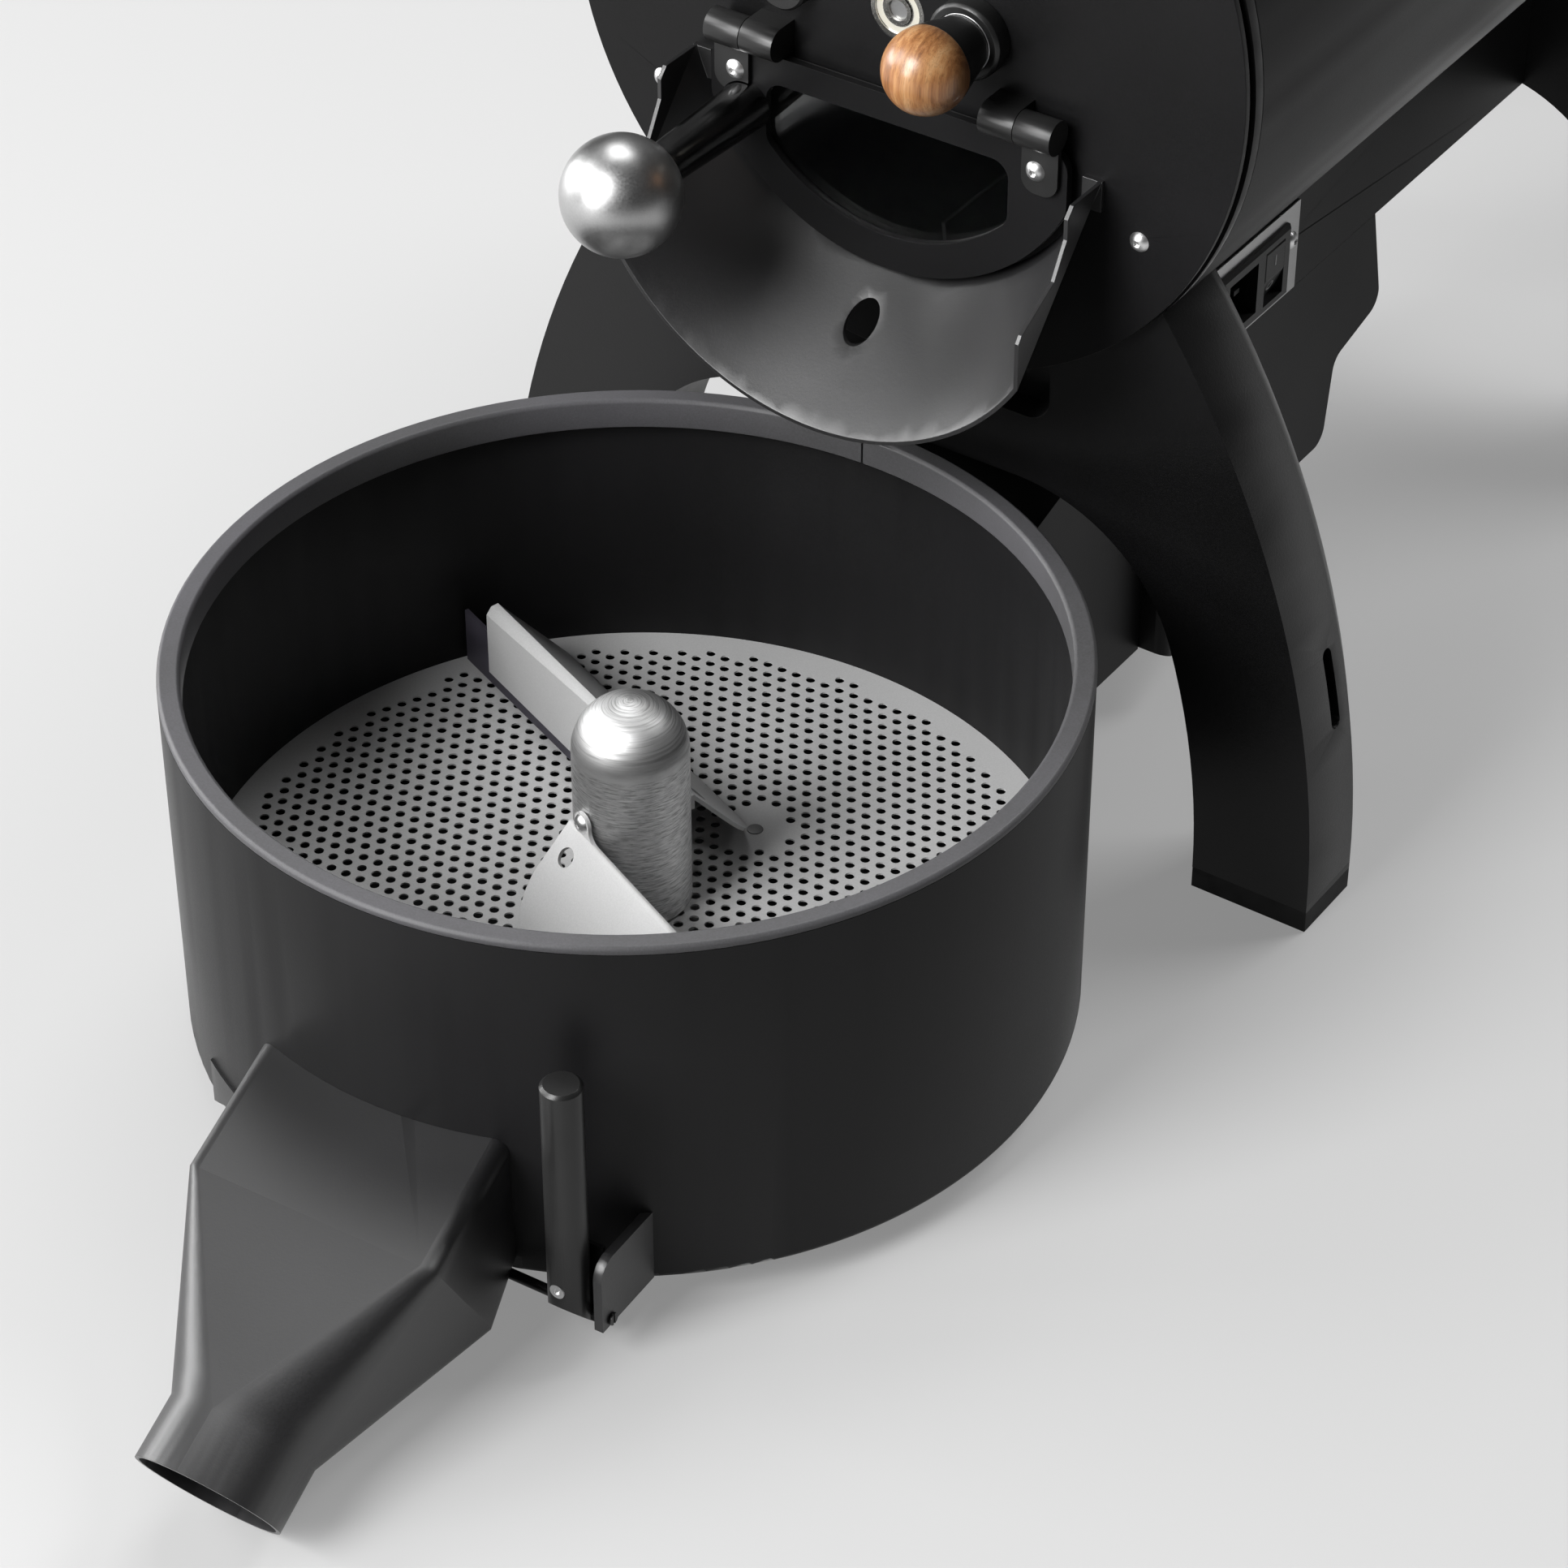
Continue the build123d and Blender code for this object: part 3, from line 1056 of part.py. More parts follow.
def probe():
    """Bean temperature probe: a round head on the plate and its sheath in the drum."""
    head = rod_y(PLATE_FRONT - PROBE_LENGTH, PLATE_FRONT, PROBE_X, PROBE_Z, PROBE_RADIUS)
    head = chamfer(head.faces().sort_by(Axis.Y)[0].edges(), 1.0)
    return head + rod_y(PLATE_FRONT, PROBE_BACK, PROBE_X, PROBE_Z, PROBE_SHEATH_RADIUS)


# ---------------------------------------------------------------- hopper
def hopper_solid(shrink, bottom):
    """Funnel over a square neck, smaller by shrink all round."""
    back = PLATE_FRONT - shrink
    half, neck_half = HOPPER_HALF_WIDTH - shrink, HOPPER_NECK_HALF - shrink
    front, neck_front = HOPPER_FRONT + shrink, PLATE_FRONT - HOPPER_NECK_DEPTH + shrink
    wide = Pos(0, (front + back) / 2, HOPPER_TOP) * Rectangle(2 * half, back - front)
    narrow = Pos(0, (neck_front + back) / 2, HOPPER_NECK_TOP)
    narrow *= Rectangle(2 * neck_half, back - neck_front)
    neck = block(-neck_half, neck_half, neck_front, back, bottom, HOPPER_NECK_TOP)
    return loft([narrow, wide], ruled=True) + neck


def hopper():
    """Bean funnel on the upper front: hollow, with a slide's slot and a throat into the drum."""
    body = hopper_solid(0, HOPPER_NECK_BOTTOM) - hopper_solid(SHEET, HOPPER_NECK_BOTTOM + SHEET)
    half = HOPPER_NECK_HALF - SHEET
    low = HOPPER_NECK_BOTTOM + SHEET
    body -= block(-half, half, PLATE_FRONT - SHEET, PLATE_FRONT, low, THROAT_TOP)
    slot = half + FREE_GAP
    neck_front = PLATE_FRONT - HOPPER_NECK_DEPTH
    slot_low, slot_high = HOPPER_NECK_TOP - 4 - FREE_GAP, HOPPER_NECK_TOP - 4 + SHEET + FREE_GAP
    body -= block(-slot, slot, neck_front - 1, neck_front + SHEET, slot_low, slot_high)
    for side in (-1, 1):
        ear0, ear1 = sorted((side * LID_EAR_INNER, side * LID_EAR_OUTER))
        ear = block(ear0, ear1, PLATE_FRONT - 5, PLATE_FRONT, HOPPER_TOP - 6, HOPPER_TOP)
        ear += rod_x(ear0, ear1, PLATE_FRONT, LID_PIN_Z, LID_HINGE_RADIUS)
        ear += block(ear0, ear1, PLATE_FRONT - 1.5, PLATE_FRONT + 1.5, HOPPER_TOP - 2, LID_PIN_Z)
        body += ear
    for place in plate_screw_places:
        body -= screw_hole(place, PLATE_SCREW_LENGTH)
    pin = rod_x(-LID_EAR_OUTER, LID_EAR_OUTER, PLATE_FRONT, LID_PIN_Z, LID_PIN_RADIUS)
    return body + pin


def hopper_lid():
    """Hinged lid of the hopper, with a small knob."""
    half = HOPPER_HALF_WIDTH + 1
    low = HOPPER_TOP + FREE_GAP
    lid = block(-half, half, HOPPER_FRONT - 2, PLATE_FRONT - 5.5, low, low + LID_THICKNESS)
    reach = LID_EAR_INNER - FREE_GAP
    tongue_low = LID_PIN_Z - LID_HINGE_RADIUS + 0.5
    tongue = block(-reach, reach, PLATE_FRONT - 6, PLATE_FRONT, tongue_low, LID_PIN_Z - 0.8)
    tongue += rod_x(-reach, reach, PLATE_FRONT, LID_PIN_Z, LID_HINGE_RADIUS)
    lid += tongue
    lid -= rod_x(-reach, reach, PLATE_FRONT, LID_PIN_Z, LID_PIN_RADIUS + RUNNING_GAP)
    knob_y = HOPPER_FRONT + 16
    lid += rod_z(low + LID_THICKNESS, low + 8, 0, knob_y, 4)
    lid += Pos(0, knob_y, low + 6 + LID_KNOB_RADIUS) * Sphere(LID_KNOB_RADIUS)
    return lid


def hopper_gate():
    """Slide that lets the beans into the drum, pulled out to the front."""
    half = HOPPER_NECK_HALF - SHEET - FREE_GAP
    neck_front = PLATE_FRONT - HOPPER_NECK_DEPTH
    low = HOPPER_NECK_TOP - 4
    back = PLATE_FRONT - SHEET - FREE_GAP
    slide = block(-half, half, neck_front - 10, back, low, low + SHEET)
    knob = rod_y(neck_front - 22, neck_front - 9, 0, low + SHEET / 2, SLIDE_KNOB_RADIUS)
    return slide + fillet(knob.faces().sort_by(Axis.Y)[0].edges(), 3)


# ---------------------------------------------------------------- cooling tray
def tray_bowl():
    """Spun tray: wall with a soft bottom edge, raised floor, and cut-outs for duct and spout."""
    bowl = rod_z(TRAY_BOTTOM, TRAY_TOP - RIM_THICKNESS, 0, 0, TRAY_RADIUS)
    bowl = fillet(bowl.faces().sort_by(Axis.Z)[0].edges(), TRAY_EDGE_ROUND)
    bowl -= rod_z(TRAY_FLOOR_HIGH, TRAY_TOP, 0, 0, HOLLOW_RADIUS)
    bowl -= rod_z(0, TRAY_FLOOR_LOW, 0, 0, HOLLOW_RADIUS - 2)
    ledge = rod_z(SIEVE_LOW - 3, SIEVE_LOW, 0, 0, HOLLOW_RADIUS)
    bowl += ledge - rod_z(SIEVE_LOW - 3, SIEVE_LOW, 0, 0, HOLLOW_RADIUS - 4)
    half = GATE_HALF_WIDTH - 2
    bowl -= block(-half, half, -TRAY_RADIUS - 1, -TRAY_RADIUS + 20, PLATE_TOP, GATE_HIGH - 2)
    notch = SPOUT_WIDTH / 2 + 3
    notch_top = GATE_AXLE_Z + GATE_AXLE_RADIUS + 1.5
    bowl -= block(-notch, notch, -TRAY_RADIUS - 1, GATE_AXLE_Y + 6, 0, notch_top)
    bowl = in_tray(bowl)
    duct = DUCT_HALF_WIDTH
    return bowl - block(-duct, duct, TRAY_RADIUS - 30, TRAY_RADIUS + 1, DUCT_LOW, DUCT_HIGH - 1)


def tray_rim():
    """Edge trim: flat top, inner skirt, split at the back."""
    inner = TRAY_RADIUS - RIM_WIDTH
    rim = rod_z(TRAY_TOP - RIM_THICKNESS, TRAY_TOP, 0, 0, TRAY_RADIUS)
    rim += rod_z(TRAY_TOP - RIM_SKIRT, TRAY_TOP - RIM_THICKNESS, 0, 0, HOLLOW_RADIUS)
    rim -= rod_z(TRAY_TOP - RIM_SKIRT, TRAY_TOP, 0, 0, inner)
    rim = chamfer(rim.faces().sort_by(Axis.Z)[-1].edges(), RIM_BEVEL)
    cut = block(inner - 5, TRAY_RADIUS + 5, -RIM_SEAM / 2, RIM_SEAM / 2, 0, TRAY_TOP + 1)
    return in_tray(rim - Rot(0, 0, RIM_SEAM_ANGLE) * cut)


def tray_plate():
    """Sieve plate under the beans."""
    plate = rod_z(SIEVE_LOW, PLATE_TOP, 0, 0, HOLLOW_RADIUS)
    return in_tray(plate - rod_z(SIEVE_LOW, PLATE_TOP, 0, 0, STIR_SHAFT_RADIUS + 2))


def tray_feet():
    """Rubber feet under the tray's floor."""
    feet = []
    for x, y in around(TRAY_FOOT_COUNT, 45, TRAY_FOOT_ORBIT):
        feet.append(in_tray(rod_z(0, TRAY_FLOOR_LOW, x, y, TRAY_FOOT_RADIUS)))
    return feet


def stir_motor():
    """Flat gearmotor under the sieve that turns the stirrer."""
    body = rod_z(TRAY_FLOOR_HIGH, SIEVE_LOW - 1, 0, 0, 27)
    return body - rod_z(TRAY_FLOOR_HIGH + 4, SIEVE_LOW, 0, 0, STIR_SHAFT_RADIUS + RUNNING_GAP)


# ---------------------------------------------------------------- spout and gate
def spout_section(centre, width, height, corner, shrink):
    """A rounded rectangle across the spout, leaning back by the rake."""
    lean = radians(SPOUT_RAKE)
    plane = Plane(origin=centre, x_dir=(1, 0, 0), z_dir=(0, -cos(lean), -sin(lean)))
    radius = max(corner - shrink, 1.0)
    return plane * RectangleRounded(width - 2 * shrink, height - 2 * shrink, radius)


def spout_solid(shrink):
    """The spout as one solid: straight box, taper to round, short tube; smaller by shrink."""
    middle_z = (SPOUT_TOP + SPOUT_BOTTOM) / 2
    wall_height = (SPOUT_TOP - SPOUT_BOTTOM) - 2 * shrink
    wall_plane = Plane(origin=(0, -TRAY_RADIUS + 12, middle_z), x_dir=(1, 0, 0), z_dir=(0, -1, 0))
    radius = max(SPOUT_CORNER - shrink, 1.0)
    start = wall_plane * RectangleRounded(SPOUT_WIDTH - 2 * shrink, wall_height, radius)
    fold = spout_section(SPOUT_FOLD, SPOUT_WIDTH, SPOUT_FOLD_HEIGHT, SPOUT_CORNER, shrink)
    side = 2 * SPOUT_TUBE_RADIUS
    round_corner = SPOUT_TUBE_RADIUS - 0.1
    neck = spout_section(SPOUT_NECK, side, side, round_corner, shrink)
    mouth = spout_section(SPOUT_MOUTH, side, side, round_corner, shrink)
    solid = loft([start, fold], ruled=True)
    solid += loft([fold, neck], ruled=True)
    return solid + loft([neck, mouth], ruled=True)


def spout():
    """Welded sheet spout, open at both ends, its floor cut out for the gate's legs and axle."""
    lean = radians(SPOUT_RAKE)
    shell = spout_solid(0)
    hollow = spout_solid(SHEET)
    side = 2 * SPOUT_TUBE_RADIUS
    tail = spout_section(SPOUT_MOUTH, side, side, SPOUT_TUBE_RADIUS - 0.1, SHEET)
    hollow += extrude(tail, amount=1, dir=(0, -cos(lean), -sin(lean)))
    shell -= hollow
    shell -= rod_z(0, SPOUT_TOP + 10, 0, 0, TRAY_RADIUS)
    for sign in (-1, 1):
        x0, x1 = sorted((sign * (GATE_HALF_WIDTH - GATE_LEG - 1), sign * (GATE_HALF_WIDTH + 1)))
        shell -= block(x0, x1, GATE_AXLE_Y - 14, GATE_AXLE_Y + 9, 0, SPOUT_BOTTOM + 6)
    half = SPOUT_WIDTH / 2 + 4
    top = GATE_AXLE_Z + GATE_AXLE_RADIUS + 1
    shell -= block(-half, half, GATE_AXLE_Y - 4, GATE_AXLE_Y + 9, 0, top)
    return in_tray(shell)


def gate_lugs():
    """Two bracket plates on the tray's lower wall that carry the gate's axle, and a strap."""
    lugs = []
    for x0, top, soft in ((-LUG_LEFT_X - LUG_THICKNESS, LUG_LEFT_TOP, 2.0), (LUG_X, LUG_TOP, LUG_CORNER)):
        x1 = x0 + LUG_THICKNESS
        back = -sqrt(TRAY_RADIUS**2 - max(abs(x0), abs(x1)) ** 2) + 2
        face = outline([(LUG_FRONT, LUG_BOTTOM), (LUG_FRONT, top), (back, top), (back, LUG_BOTTOM)])
        corner = [v for v in face.vertices() if v.X < LUG_FRONT + 1 and v.Y > top - 1]
        lug = slab_x(fillet(corner, soft), x0, x1)
        lug -= rod_z(0, LUG_TOP + 1, 0, 0, TRAY_RADIUS)
        lug -= rod_x(x0, x1, GATE_AXLE_Y, GATE_AXLE_Z, GATE_AXLE_RADIUS + RUNNING_GAP)
        lugs.append(in_tray(lug))
    strap = rod_z(STRAP_LOW, STRAP_HIGH, 0, 0, TRAY_RADIUS + STRAP_THICKNESS)
    strap -= rod_z(STRAP_LOW, STRAP_HIGH, 0, 0, TRAY_RADIUS)
    shape = outline(
        [
            (-STRAP_OUTER, STRAP_LOW),
            (-STRAP_INNER, STRAP_LOW + STRAP_RISE),
            (-STRAP_INNER, STRAP_HIGH),
            (-STRAP_OUTER, STRAP_HIGH),
        ]
    )
    strap &= slab_y(shape, -TRAY_RADIUS, 0)
    lugs.append(in_tray(strap))
    return lugs


def gate_flap():
    """Gate across the spout's throat, its two legs on the axle, and the plate behind the lever."""
    outer = TRAY_RADIUS + 2.6
    blade = rod_z(GATE_AXLE_Z, GATE_HIGH, 0, 0, outer) - rod_z(0, GATE_HIGH, 0, 0, outer - SHEET)
    half = GATE_HALF_WIDTH
    blade &= block(-half, half, -outer - 1, -100, GATE_AXLE_Z, GATE_HIGH)
    inner = GATE_HALF_WIDTH - GATE_LEG
    blade -= block(-inner, inner, -outer - 1, -100, 0, GATE_LOW)
    flap = blade
    back = LEVER_Y + LEVER_RADIUS
    x0, x1 = LEVER_X - FLAP_PLATE_HALF, LEVER_X + FLAP_PLATE_HALF
    flap += block(x0, x1, back, back + SHEET, FLAP_BOTTOM, FLAP_TOP)
    flap -= rod_x(-LUG_X, LUG_X, GATE_AXLE_Y, GATE_AXLE_Z, GATE_AXLE_RADIUS)
    flap -= rod_y(back - 1, back + SHEET + 1, LEVER_X, LEVER_SCREW_Z, SCREW_RADIUS)
    return in_tray(flap)


def gate_axle():
    """Axle through both lugs, with slotted heads outside them."""
    left = -LUG_LEFT_X - LUG_THICKNESS - FREE_GAP
    right = LUG_X + LUG_THICKNESS + FREE_GAP
    y, z = GATE_AXLE_Y, GATE_AXLE_Z
    axle = rod_x(left, right, y, z, GATE_AXLE_RADIUS)
    for side, end in ((-1, left), (1, right)):
        x0, x1 = sorted((end, end + side * GATE_HEAD_DEPTH))
        head = rod_x(x0, x1, y, z, GATE_HEAD_RADIUS)
        slot0, slot1 = sorted((end + side * GATE_HEAD_DEPTH / 2, end + side * 2))
        reach = GATE_HEAD_RADIUS + 1
        axle += head - block(slot0, slot1, y - 0.4, y + 0.4, z - reach, z + reach)
    return in_tray(axle)


def lever_rod():
    """Upright handle of the gate: foot cut off at a slant, drilled for its screw and the axle."""
    rod = rod_z(LEVER_BOTTOM, LEVER_TOP, LEVER_X, LEVER_Y, LEVER_RADIUS)
    rod = chamfer(rod.faces().sort_by(Axis.Z)[-1].edges(), 1.2)
    front, back = LEVER_Y - LEVER_RADIUS, LEVER_Y + LEVER_RADIUS
    length = back - front + 1
    foot = outline(
        [
            (back, LEVER_BOTTOM),
            (front - 1, LEVER_BOTTOM + LEVER_SLANT * length),
            (front - 1, LEVER_BOTTOM - 1),
            (back, LEVER_BOTTOM - 1),
        ]
    )
    rod -= slab_x(foot, LEVER_X - LEVER_RADIUS - 1, LEVER_X + LEVER_RADIUS + 1)
    rod -= rod_y(front - 1, front + 1, LEVER_X, LEVER_SCREW_Z, LEVER_SCREW_RADIUS)
    rod -= rod_y(front, back + 1, LEVER_X, LEVER_SCREW_Z, SCREW_RADIUS)
    rod -= rod_x(LEVER_X - 10, LEVER_X + 10, GATE_AXLE_Y, GATE_AXLE_Z, GATE_AXLE_RADIUS)
    return in_tray(rod)


def lever_screw():
    """Flat screw, sunk in the lever, that holds it to the flap's plate."""
    front = LEVER_Y - LEVER_RADIUS
    head = rod_y(front, front + 1, LEVER_X, LEVER_SCREW_Z, LEVER_SCREW_RADIUS)
    head -= rod_y(front, front + 0.7, LEVER_X, LEVER_SCREW_Z, LEVER_SCREW_RADIUS * 0.45)
    back = LEVER_Y + LEVER_RADIUS + SHEET
    return in_tray(head + rod_y(front + 1, back, LEVER_X, LEVER_SCREW_Z, SCREW_RADIUS))


# ---------------------------------------------------------------- stirrer
def stir_hub():
    """Domed hub with the drive shaft under it."""
    hub = rod_z(HUB_BOTTOM, HUB_SHOULDER, 0, 0, HUB_RADIUS)
    hub += Pos(0, 0, HUB_SHOULDER) * Sphere(HUB_RADIUS)
    hub += rod_z(TRAY_FLOOR_HIGH + 6, HUB_BOTTOM, 0, 0, STIR_SHAFT_RADIUS)
    for place in tab_screw_places():
        hub -= screw_hole(place, STIR_SCREW_LENGTH)
    return hub


def tab_screw_places():
    """Where the screws hold the blades' tabs to the hub."""
    places = []
    for turn in (BLADE_TURN, BLADE_TURN + 180):
        at = facing_front(TAB_X, -HUB_RADIUS - 0.1 - TAB_THICKNESS, BLADE_RIDGE + TAB_RISE / 2)
        places.append(Rot(0, 0, turn) * at)
    return places


def stir_blades():
    """Two ploughs, half a turn apart: a wide leaning face, an upright one, and a tab on the hub."""
    length = BLADE_END - BLADE_START
    fall = BLADE_FALL / length
    drop = BLADE_RIDGE - PLATE_TOP - BLADE_CLEARANCE
    face_width = hypot(drop, BLADE_SPREAD)
    ridge = (cos(fall), 0, -sin(fall))
    inward = (0, drop / face_width, -BLADE_SPREAD / face_width)
    plane = Plane(origin=(BLADE_START, -BLADE_OFFSET, BLADE_RIDGE), x_dir=ridge, z_dir=inward)
    plan = Pos(length / 2, face_width / 2) * Rectangle(length, face_width)
    root = [v for v in plan.vertices() if v.X < 1 and v.Y > face_width - 1]
    plan = fillet(root, BLADE_CORNER)
    plan -= Pos(TAB_X - BLADE_START, BLADE_HOLE_DOWN) * Circle(BLADE_HOLE_RADIUS)
    wide = extrude(plane * plan, amount=SHEET)
    wide &= block(-300, 300, -300, 0, PLATE_TOP + BLADE_CLEARANCE, 200)
    upright = on_front(
        outline(
            [
                (BLADE_START, BLADE_RIDGE),
                (BLADE_END, BLADE_RIDGE - BLADE_FALL),
                (BLADE_END, BLADE_FOOT),
                (WIPER_START, BLADE_FOOT),
                (BLADE_START, BLADE_RIDGE - 6),
            ]
        ),
        -BLADE_OFFSET,
    )
    blade = wide + extrude(upright, amount=-SHEET)
    blade &= rod_z(0, 200, 0, 0, BLADE_ORBIT)
    half = TAB_WIDTH / 2
    low, top = BLADE_RIDGE - 2, BLADE_RIDGE + TAB_RISE
    tab = outline(
        [
            (TAB_X - half, low),
            (TAB_X - half, top),
            (TAB_X + half, top),
            (TAB_X + half, BLADE_RIDGE - 1),
            (TAB_X + half + TAB_FLARE + 1, BLADE_RIDGE - 1),
            (TAB_X + half + TAB_FLARE + 1, low),
        ]
    )
    bend = [v for v in tab.vertices() if abs(v.Y - BLADE_RIDGE + 1) < 0.1]
    tab = fillet(bend[:1] if bend[0].X < bend[-1].X else bend[-1:], TAB_FLARE)
    ends = [v for v in tab.vertices() if v.Y > top - 1]
    tab = fillet(ends, half - 0.3)
    tab_back = -HUB_RADIUS - 0.1
    blade += slab_y(tab, tab_back - TAB_THICKNESS, tab_back)
    blades = []
    for turn, place in zip((BLADE_TURN, BLADE_TURN + 180), tab_screw_places()):
        blades.append(Rot(0, 0, turn) * blade - screw_hole(place, STIR_SCREW_LENGTH))
    return blades


def stir_wipers():
    """Soft wiper strips along the ploughs' upright feet and up their tips."""
    wipers = []
    y0, y1 = -BLADE_OFFSET, -BLADE_OFFSET + SHEET
    low = BLADE_FOOT - WIPER_DEPTH
    end = sqrt(BLADE_ORBIT**2 - BLADE_OFFSET**2) - WIPER_REACH
    strip = block(WIPER_START, BLADE_END, y0, y1, low, BLADE_FOOT)
    strip += block(BLADE_END, end + WIPER_REACH, y0, y1, low, BLADE_RIDGE - BLADE_FALL - 8)
    strip &= rod_z(0, 200, 0, 0, BLADE_ORBIT + 1)
    for turn in (BLADE_TURN, BLADE_TURN + 180):
        wipers.append(Rot(0, 0, turn) * strip)
    return wipers


# ---------------------------------------------------------------- assembly
parts["front_plate"] = front_plate()
parts["front_flange"] = front_flange()
parts["housing_shell"] = housing_shell()
parts["rear_plate"] = rear_plate()
parts["bulkhead"] = bulkhead()
parts["bearings"] = bearing(PLATE_FRONT + 0.2) + bearing(BULKHEAD_FRONT)
front_arch, front_pads = split_feet(arch(ARCH_FRONT, True))
rear_arch, rear_pads = split_feet(arch(REAR_ARCH_FRONT, False))
parts["front_arch"] = front_arch
parts["rear_arch"] = rear_arch
parts["foot_pads"] = list(front_pads.solids()) + list(rear_pads.solids())
parts["chassis_box"] = chassis_box()
parts["lower_housing"] = lower_housing()
parts["tray_dock"] = tray_dock()
parts["drum_shell"] = drum_shell()
parts["drum_vanes"] = drum_vanes()
parts["drum_shaft"] = drum_shaft()
parts["drum_pulley"] = pulley(0, DRUM_AXIS_Z, DRUM_PULLEY_RADIUS, SHAFT_RADIUS)
parts["drive_belt"] = drive_belt()
parts["drum_motor"] = drum_motor()
parts["motor_pulley"] = motor_pulley()
parts["heating_elements"] = heating_elements()
parts["exhaust_fan"] = exhaust_fan()
parts["cooling_fan"] = cooling_fan()
parts["fan_motor"] = fan_motor()
parts["inlet_backplate"] = inlet_backplate()
parts["power_inlet"] = power_inlet()
parts["rocker"] = rocker()
parts["door_plate"] = door_plate()
parts["door_gasket"] = door_gasket()
parts["door_glass"] = door_glass()
parts["door_leaves"] = door_leaves()
parts["door_screws"] = [button_screw(place, LEAF_SCREW_LENGTH) for place in leaf_screw_places]
parts["hinge_blocks"] = hinge_blocks()
parts["ball_stem"] = ball_stem()
parts["door_ball"] = ball()
parts["chute"] = chute()
parts["tryer_collar"] = tryer_collar()
parts["tryer_bush"] = tryer_bush()
parts["tryer_scoop"] = tryer_scoop()
parts["tryer_ferrule"] = tryer_ferrule()
parts["tryer_knob"] = tryer_knob()
parts["probe"] = probe()
parts["hopper"] = hopper()
parts["hopper_lid"] = hopper_lid()
parts["hopper_gate"] = hopper_gate()
screws = [button_screw(place, PLATE_SCREW_LENGTH) for place in plate_screw_places]
screws.append(button_screw(inlet_screw_place, INLET_PLATE + CASE_WALL))
parts["case_screws"] = screws
parts["tray_bowl"] = tray_bowl()
parts["tray_rim"] = tray_rim()
parts["tray_plate"] = tray_plate()
parts["tray_feet"] = tray_feet()
parts["stir_motor"] = stir_motor()
parts["spout"] = spout()
parts["gate_lugs"] = gate_lugs()
parts["gate_flap"] = gate_flap()
parts["gate_axle"] = gate_axle()
parts["lever_rod"] = lever_rod()
parts["lever_screw"] = lever_screw()
parts["stir_hub"] = stir_hub()
parts["stir_blades"] = stir_blades()
parts["stir_wipers"] = stir_wipers()
parts["stir_screws"] = [button_screw(place, STIR_SCREW_LENGTH) for place in tab_screw_places()]


def solids_of(shape):
    """Every closed solid of a part, which may be one shape or a list of them."""
    if isinstance(shape, list):
        return [solid for piece in shape for solid in piece.solids()]
    return list(shape.solids())


os.makedirs("parts", exist_ok=True)
every_solid = [solid for shape in parts.values() for solid in solids_of(shape)]
whole = Compound(children=[Compound(every_solid)]).bounding_box()
shift = Pos(0, -(whole.min.Y + whole.max.Y) / 2, 0)
print("moved along Y by", round(-(whole.min.Y + whole.max.Y) / 2, 4))
for name, shape in parts.items():
    moved = [shift * solid for solid in solids_of(shape)]
    export_step(moved[0] if len(moved) == 1 else Compound(moved), f"parts/{name}.step")
print(len(parts), "parts written")
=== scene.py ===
"""Looks of the home coffee bean roaster: finishes, the sieve's holes and a few small pieces.

Lengths are in metres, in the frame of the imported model: +Z up, +Y towards the back, origin on the
floor under the middle of the machine.  The cooling tray stands turned a little about its own axis.
"""

import math

import bmesh
import bpy
from mathutils import Matrix, Vector
from mathutils.bvhtree import BVHTree


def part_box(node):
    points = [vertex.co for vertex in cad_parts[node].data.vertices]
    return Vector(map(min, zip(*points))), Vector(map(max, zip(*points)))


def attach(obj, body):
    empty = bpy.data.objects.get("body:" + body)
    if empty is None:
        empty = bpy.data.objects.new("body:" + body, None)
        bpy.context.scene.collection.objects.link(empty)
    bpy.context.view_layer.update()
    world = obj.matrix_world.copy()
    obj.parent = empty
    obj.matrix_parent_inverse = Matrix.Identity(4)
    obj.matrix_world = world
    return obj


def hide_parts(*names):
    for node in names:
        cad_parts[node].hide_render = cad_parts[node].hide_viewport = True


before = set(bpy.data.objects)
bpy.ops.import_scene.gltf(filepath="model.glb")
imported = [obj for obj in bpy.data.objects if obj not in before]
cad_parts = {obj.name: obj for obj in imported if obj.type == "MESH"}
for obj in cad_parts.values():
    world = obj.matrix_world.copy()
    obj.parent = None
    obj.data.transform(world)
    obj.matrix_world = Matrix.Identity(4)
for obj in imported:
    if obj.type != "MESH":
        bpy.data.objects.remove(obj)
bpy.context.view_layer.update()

MM = 0.001
IMAGE_SIZE = 1932  # pixels along each side of the photograph
FOCAL_PIXELS = 5700.8
SENSOR = 36.0

sieve_low, sieve_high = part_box("tray_plate")
TRAY = Vector(((sieve_low.x + sieve_high.x) / 2, (sieve_low.y + sieve_high.y) / 2, 0))
TRAY_TURN = math.radians(3.0)
CAMERA_FROM_TRAY = Vector((0.7745, -1.0328, 1.1093))
CAMERA_AZIMUTH = math.radians(34.466)
CAMERA_ELEVATION = math.radians(38.089)


